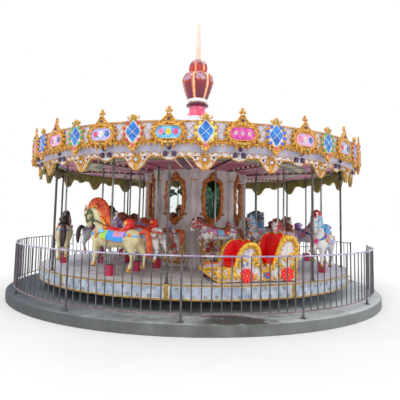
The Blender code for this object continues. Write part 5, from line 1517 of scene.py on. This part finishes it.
# Its ornaments: rolls and wings as lines, feathers and leaves by foot, lean and length (cream ones also by width),
# scrolls by start, heading, size and hand, small blue flowers by place and size.
carvingLook = {
    "rolls": (([(-0.40, 1.020), (-0.60, 1.015), (-0.80, 0.995), (-0.97, 0.960)], 0.022),
              ([(-0.95, 0.930), (-0.80, 0.865), (-0.68, 0.812), (-0.55, 0.770), (-0.40, 0.757)], 0.018)),
    # a black line of painted shadow along the foot of the side and prow
    "paintedShadowLine": [(-0.92, 0.900), (-0.78, 0.830), (-0.60, 0.765), (-0.46, 0.746), (0.30, 0.746), (1.09, 0.748)],
    "feathers": ((-0.93, 0.940, 97, 0.16), (-0.84, 0.930, 80, 0.16), (-0.72, 0.935, 88, 0.17), (-0.74, 0.855, 66, 0.15),
                 (-0.60, 0.820, 52, 0.16)),
    "wings": ([(-0.24, 0.97), (-0.175, 1.12), (-0.125, 1.28), (-0.03, 1.42), (0.10, 1.485), (0.23, 1.45), (0.295, 1.34),
               (0.275, 1.22), (0.20, 1.20), (0.175, 1.27), (0.215, 1.31)],
              [(0.50, 0.95), (0.61, 1.08), (0.69, 1.28), (0.76, 1.46), (0.86, 1.59), (0.98, 1.63), (1.09, 1.565),
               (1.14, 1.43), (1.125, 1.27), (1.10, 1.12), (1.09, 0.96), (1.06, 0.86)]),
    "creamLeaves": ((0.87, 1.02, -14, 0.46, 0.10), (0.95, 1.02, 2, 0.50, 0.11), (1.02, 1.02, 14, 0.42, 0.08),
                    (0.03, 1.00, -12, 0.36, 0.10), (0.12, 1.00, 6, 0.36, 0.10)),
    "leaves": ((-0.46, 0.80, -50, 0.19), (-0.37, 0.79, -38, 0.21), (-0.27, 0.78, -24, 0.22), (-0.17, 0.78, -12, 0.24),
               (-0.09, 0.78, -4, 0.16), (-0.50, 0.90, -62, 0.15), (-0.40, 0.92, -55, 0.15), (-0.29, 0.93, -45, 0.15),
               (0.14, 0.77, 12, 0.15), (0.56, 0.765, -75, 0.12), (0.86, 0.77, -8, 0.12), (1.09, 0.90, 4, 0.16),
               (1.08, 1.12, -4, 0.15), (0.20, 0.77, 22, 0.17), (0.28, 0.77, 45, 0.13), (0.36, 0.765, 62, 0.11),
               (0.62, 0.765, -62, 0.11), (0.70, 0.77, -45, 0.13), (0.78, 0.78, -22, 0.17), (0.80, 0.95, -10, 0.14),
               (1.04, 0.80, 20, 0.20), (1.05, 0.97, 8, 0.18), (-0.10, 0.99, -8, 0.14), (0.22, 1.02, 15, 0.13)),
    "scrolls": ((0.88, 1.12, 105, 0.22, 1), (0.93, 1.14, 80, 0.24, -1), (0.98, 1.02, 70, 0.15, -1),
                (0.84, 1.02, 110, 0.14, 1), (0.06, 1.12, 110, 0.14, 1), (0.14, 1.06, 75, 0.15, -1)),
    "swag": [(0.30, 1.10), (0.36, 0.985), (0.47, 0.955), (0.57, 0.985), (0.63, 1.06)],
    "wheels": ((0.04, 0.870), (0.93, 0.885)), "shield": (0.49, 0.885),
    "flowers": ((-0.03, 1.165, 0.075), (0.03, 1.095, 0.060), (-0.045, 1.07, 0.055), (-0.02, 1.26, 0.05))}


# Flat plate between two depths, its outline cut into triangles that all turn the same way.
def plate(outline, back, front, slot=0):
    count = len(outline)
    cap = np.array(tessellate_polygon([[(x, z, 0.0) for x, z in outline]]))
    points = np.vstack([atDepth(outline, back), atDepth(outline, front)])
    c = np.arange(count)
    after = (c + 1) % count
    a, b, d = (outline[cap[:, i]] for i in range(3))
    turnsRight = np.cross(b - a, d - a) < 0
    cap = np.where(turnsRight[:, None], cap[:, ::-1], cap)
    following = np.roll(outline, -1, 0)
    clockwise = ((outline - following)[:, 0] * (outline + following)[:, 1]).sum() < 0
    sides = np.stack([c, after, count + after, count + c], -1)
    return {"points": points, "quads": sides if clockwise else sides[:, ::-1],
            "tris": np.vstack([cap, cap[:, ::-1] + count]), "slot": slot}


# Block with rounded upright edges.
def block(low, high, corner, slot):
    (x0, y0, z0), (x1, y1, z1) = low, high
    line = roundedLine(x1 - x0, y1 - y0, corner, ((x0 + x1) / 2, (y0 + y1) / 2), 3)
    return loft([atHeight(line, z) for z in (z0, z1)], slot)


# Folds what is drawn beyond the side's front end inwards along the prow's slanting face: its way beyond the fold and
# its depth are turned by the fold's angle.
def foldedIn(part):
    x, y, z = part["points"].T
    fold, slant = chariotLook["foldAt"], math.radians(chariotLook["foldTurn"])
    beyond = np.minimum(x - fold, 0.0)
    over = beyond < 0
    points = np.stack([np.where(over, fold + beyond * math.cos(slant) - y * math.sin(slant), x),
                       np.where(over, beyond * math.sin(slant) + y * math.cos(slant), y), z], -1)
    return dict(part, points=points)


# One side's ornament, drawn with y outwards from its face. Slots: shell, gold, red, blue, cream, crimson, black.
def sideCarving():
    look, (gold, redPaint, bluePaint, creamPaint, crimson, blackPaint) = carvingLook, range(1, 7)
    parts = [bead(smoothPath(sideOutline, 3), 0.004, 0.015)]
    # the prow's upper and lower rolls, a black line of painted shadow along the foot of the side and prow, and its
    # feathers
    for line, size in look["rolls"]:
        path = smoothPath(line, 7)
        parts.append(foldedIn(bead(path, 0.012, size * scalloped(len(path), 0.9, 0.18), 7)))
    parts.append(foldedIn(bead(smoothPath(look["paintedShadowLine"], 8), 0.016, 0.009, 6, blackPaint)))
    for x, z, lean, length in look["feathers"]:
        parts.append(foldedIn(leaf((x, z), length, length * 0.36, lean, [(0, -0.004), (0.06, 0.018), (0.5, 0.032)])))
    for line in look["wings"]:
        path = smoothPath(line, 6)
        share = np.arange(len(path)) / len(path) * 1.05
        size = 0.041 * (0.55 + 0.45 * np.sin(math.pi * np.clip(share, 0, 1))) * scalloped(len(path), 0.9, 0.34)
        parts.append(bead(path, 0.020, size, 8))
        # feather tips along the inner edge of the roll
        for spot in range(5, len(path) - 8, 4):
            ahead = path[spot + 1] - path[spot - 1]
            lean = math.degrees(math.atan2(ahead[0], ahead[1])) + 115
            parts.append(leaf(path[spot], 0.105, 0.046, lean, [(0, 0.0), (0.1, 0.022), (0.5, 0.032)], gold, 1, 6))
    for x, z, lean, length, width in look["creamLeaves"]:
        parts.append(leaf((x, z), length, width, lean, [(0, 0.0), (0.06, 0.012), (0.5, 0.022)], creamPaint, 1, 12))
    for x, z, lean, length in look["leaves"]:
        parts.append(leaf((x, z), length, length * 0.42, lean, [(0, -0.004), (0.06, 0.016), (0.5, 0.028)]))
    parts.append(scroll((0.36, 1.03), 230, 0.085, 0.65, 0.020, gold, 8, depth=0.014))
    for x, z, heading, size, hand in look["scrolls"]:
        parts.append(scroll((x, z), heading, size, 0.85, size * 0.15, gold, 7, depth=0.030, hand=hand))
    swag = smoothPath(look["swag"], 6)
    parts.append(bead(swag, 0.014, 0.026 * scalloped(len(swag), 1.1, 0.18), 8))
    for x, z in look["wheels"]:
        parts.append(medal((x, z), 0.250, 0.250, [(0, -0.01), (0, 0.022), (0.05, 0.038), (0.35, 0.044), (0.6, 0.032)],
                           crimson, 64, 8, 0.16))
        for turn in fullTurn * (np.arange(8) + 0.5) / 8:
            for away, size in ((0.106, 0.008), (0.062, 0.007)):
                spot = (x + away * math.sin(turn), 0.042, z + away * math.cos(turn))
                parts.append(ball((size, size, size), 6, 3, creamPaint, spot))
        parts.append(ball((0.018, 0.014, 0.018), 10, 4, gold, (x, 0.040, z)))
    parts.append(medal(look["shield"], 0.155, 0.165, [(0, 0.0), (0.05, 0.018), (0.3, 0.024)], bluePaint, 28))
    parts.append(medal(look["shield"], 0.085, 0.092, [(0, 0.020), (0.2, 0.032)], redPaint))
    parts.append(bead(ellipseLine(0.168, 0.178, 32, look["shield"]), 0.010, 0.009, looped=True))
    for x, z, size in look["flowers"]:
        parts.append(medal((x, z), size, size, [(0, 0.004), (0.1, 0.022), (0.6, 0.018)], bluePaint, 20, 5, 0.45))
        parts.append(ball((size * 0.14, 0.010, size * 0.14), 8, 3, gold, (x, 0.024, z)))
    return parts


# Pad blown up by cloth simulation: remeshed, pressed outwards, and held within the cap of its cut shape.
def puffed(part, name):
    pad = melting(name, [part], chariotLook["padVoxel"])
    cut = melted(pad)
    pad.modifiers.clear()
    pad.data = cut
    flat = placesOf(cut)
    swollen = flat
    cloth = pad.modifiers.new("cloth", "CLOTH")
    cloth.settings.use_pressure = True
    cloth.settings.uniform_pressure_force = chariotLook["padPressure"]
    cloth.settings.effector_weights.gravity = 0.0
    cloth.settings.tension_stiffness = chariotLook["padTension"]
    cloth.settings.bending_stiffness = chariotLook["padBending"]
    cloth.point_cache.frame_start, cloth.point_cache.frame_end = 1, chariotLook["frames"]
    for step in range(1, chariotLook["frames"] + 1):
        bpy.context.scene.frame_set(step)
    swollen = placesOf(pad.evaluated_get(bpy.context.evaluated_depsgraph_get()).data)
    bpy.context.scene.frame_set(1)
    move = swollen - flat
    far = np.linalg.norm(move, axis=1, keepdims=True)
    bpy.data.objects.remove(pad)
    return readBack(cut, flat + move * np.minimum(1, chariotLook["padCap"] / np.maximum(far, 1e-9)))


# Outline of a seat back: a smooth line up one side to a dipped top, and its mirror image.
def backLine(half, tall):
    right = smoothPath([(0.0, tall * 0.90), (half * 0.28, tall * 0.985), (half * 0.62, tall),
                        (half * 0.90, tall * 0.86), (half, tall * 0.58), (half, 0.0)], 5)
    return np.vstack([right, right[::-1] * (-1, 1)])[:-1]


# Upholstery vinyl: deep crimson, half-matt, with a fine leather grain.
crimsonVinyl = makeFinish("crimsonVinyl", "#f0000c #ff0414 #ff1c20", patch=0.25, gloss=(0.42, 0.55), grain=0.0025,
                          bump=0.4, bumpDepth=0.0005, dirt="#a80010", dirtShare=0.2, dirtSize=0.15)
# Enamels of the cream leaves and insides, and of the lilac-white shell.
plumePaint = enamel("creamPlume", "#d8ccc0 #e8dfd6 #f4eee8")
chariotShell = enamel("chariotShell", "#b8acbc #d6d0d6 #eae8e6")
# Fresh gold on the chariots: yellower than the cornice's, with painted shade as dark lines in its hollows.
freshGold = makeFinish("freshGoldPaint", **dict(giltLook, tones="#b47408 #e8b020 #ffe468", dirtShare=0.55,
                                                hollowShade="#6a3c04"))


def makeChariots():
    look = chariotLook
    half, thick = look["half"], look["sideThick"]
    outline = smoothPath(sideOutline, 3)
    skin = [plate(outline, -0.030, 0.0, 0), plate(outline, -thick + 0.002, -0.031, 5)]
    # the insides of both wings are upholstered to their edges
    for panel in ([(-0.13, 1.06), (-0.07, 1.35), (0.065, 1.485), (0.215, 1.495), (0.310, 1.38), (0.35, 1.10)],
                  [(0.61, 1.11), (0.715, 1.31), (0.81, 1.585), (0.95, 1.66), (1.09, 1.60), (1.158, 1.45),
                   (1.11, 1.08)]):
        rises = [(0, -thick + 0.004), (0.0, -thick - 0.010), (0.06, -thick - 0.016)]
        skin.append(relief(smoothPath(panel, 3, closed=True), rises, 5))
    # below the wings the inside is painted a pinkish white
    for panel in ([(-0.54, 0.80), (-0.54, 1.01), (-0.24, 1.01), (-0.17, 1.09), (-0.13, 1.09), (-0.13, 0.80)],
                  [(0.44, 0.80), (0.44, 1.00), (0.52, 1.00), (0.62, 1.06), (0.62, 0.80)]):
        skin.append(relief(panel, [(0, -thick + 0.004), (0.0, -thick - 0.006), (0.03, -thick - 0.008)], 4))
    body = [shifted(part, (0, side * half, 0), side) for part in skin + sideCarving() for side in (-1, 1)]
    inside = half - thick - 0.001
    # prow: sections that narrow to the tip, rounded by sines and cosines to the power 0.55 with their sign kept
    phi = turnsOf(28)
    across, up = (np.sign(value) * np.abs(value) ** 0.55 for value in (np.sin(phi), np.cos(phi)))
    x, wide, low, high = smoothPath(prowStations, 3).T[:, :, None]
    body.append(loft(ringsAt(x[:, 0], wide * across, (low + high) / 2 + (high - low) / 2 * up)))
    body.append(ball((0.045, 0.120, 0.034), 14, 6, 1, (-0.718, 0, 0.945)))
    x0, x1, z0, floor = look["floor"]
    body.append(block((x0, -inside, z0), (x1, inside, floor), 0.02, 4))
    pads = []
    for x0, x1, top, crest in look["seats"]:
        body.append(block((x0 + 0.03, -inside, floor), (x1 - 0.03, inside, top - 0.125), 0.03, 4))
        body.append(block((x0 + 0.01, -inside, top - 0.125), (x1 - 0.01, inside, top - 0.105), 0.03, 1))
        shape = backLine(inside - 0.01, crest - top + 0.10)
        upright = Matrix(((0, -1, 0, x1 - 0.035), (1, 0, 0, 0), (0, 0, 1, top - 0.09), (0, 0, 0, 1)))
        body += [moved(part, upright) for part in (relief(shape, [(0, -0.033), (0, 0.006)], 5),
                                                   bead(shape, 0.004, 0.014, 8, looped=True))]
        back = relief(shape * (0.955, 0.96) + (0, 0.01), [(0.04, 0.004), (0.0, 0.018), (0.0, 0.036), (0.05, 0.050)])
        seatLine = roundedLine(2 * inside - 0.05, x1 - x0 - 0.13, 0.05, (0, 0), 4)
        seat = relief(seatLine, [(0.03, 0.0), (0.0, 0.018), (0.0, 0.062), (0.05, 0.078)])
        laid = Matrix(((0, 0, 1, (x0 + x1) / 2 - 0.045), (1, 0, 0, 0), (0, 1, 0, top - 0.102), (0, 0, 0, 1)))
        pads.append(("Back", puffed(moved(back, upright), "backPadCut")))
        pads.append(("Seat", puffed(moved(seat, laid), "seatPadCut")))
    rest = np.vstack([part["points"] for part in body])
    finishes = [chariotShell, freshGold, red, blue, plumePaint, crimsonVinyl, black]
    for number, angle in enumerate(look["angles"], 1):
        place = standing(angle, look["ring"])
        makePiece(f"chariotBody{number}", [moved(part, place) for part in body], finishes, "turntable",
                  [f"chariot_{number}"], 40, rest)
        for order, (kind, pad) in enumerate(pads):
            name = f"chariot{number}{kind}Pad{order // 2 + 1}"
            piece = makePiece(name, [moved(pad, place)], [crimsonVinyl], "turntable", sharp=80)


makeChariots()
print("chariots built")
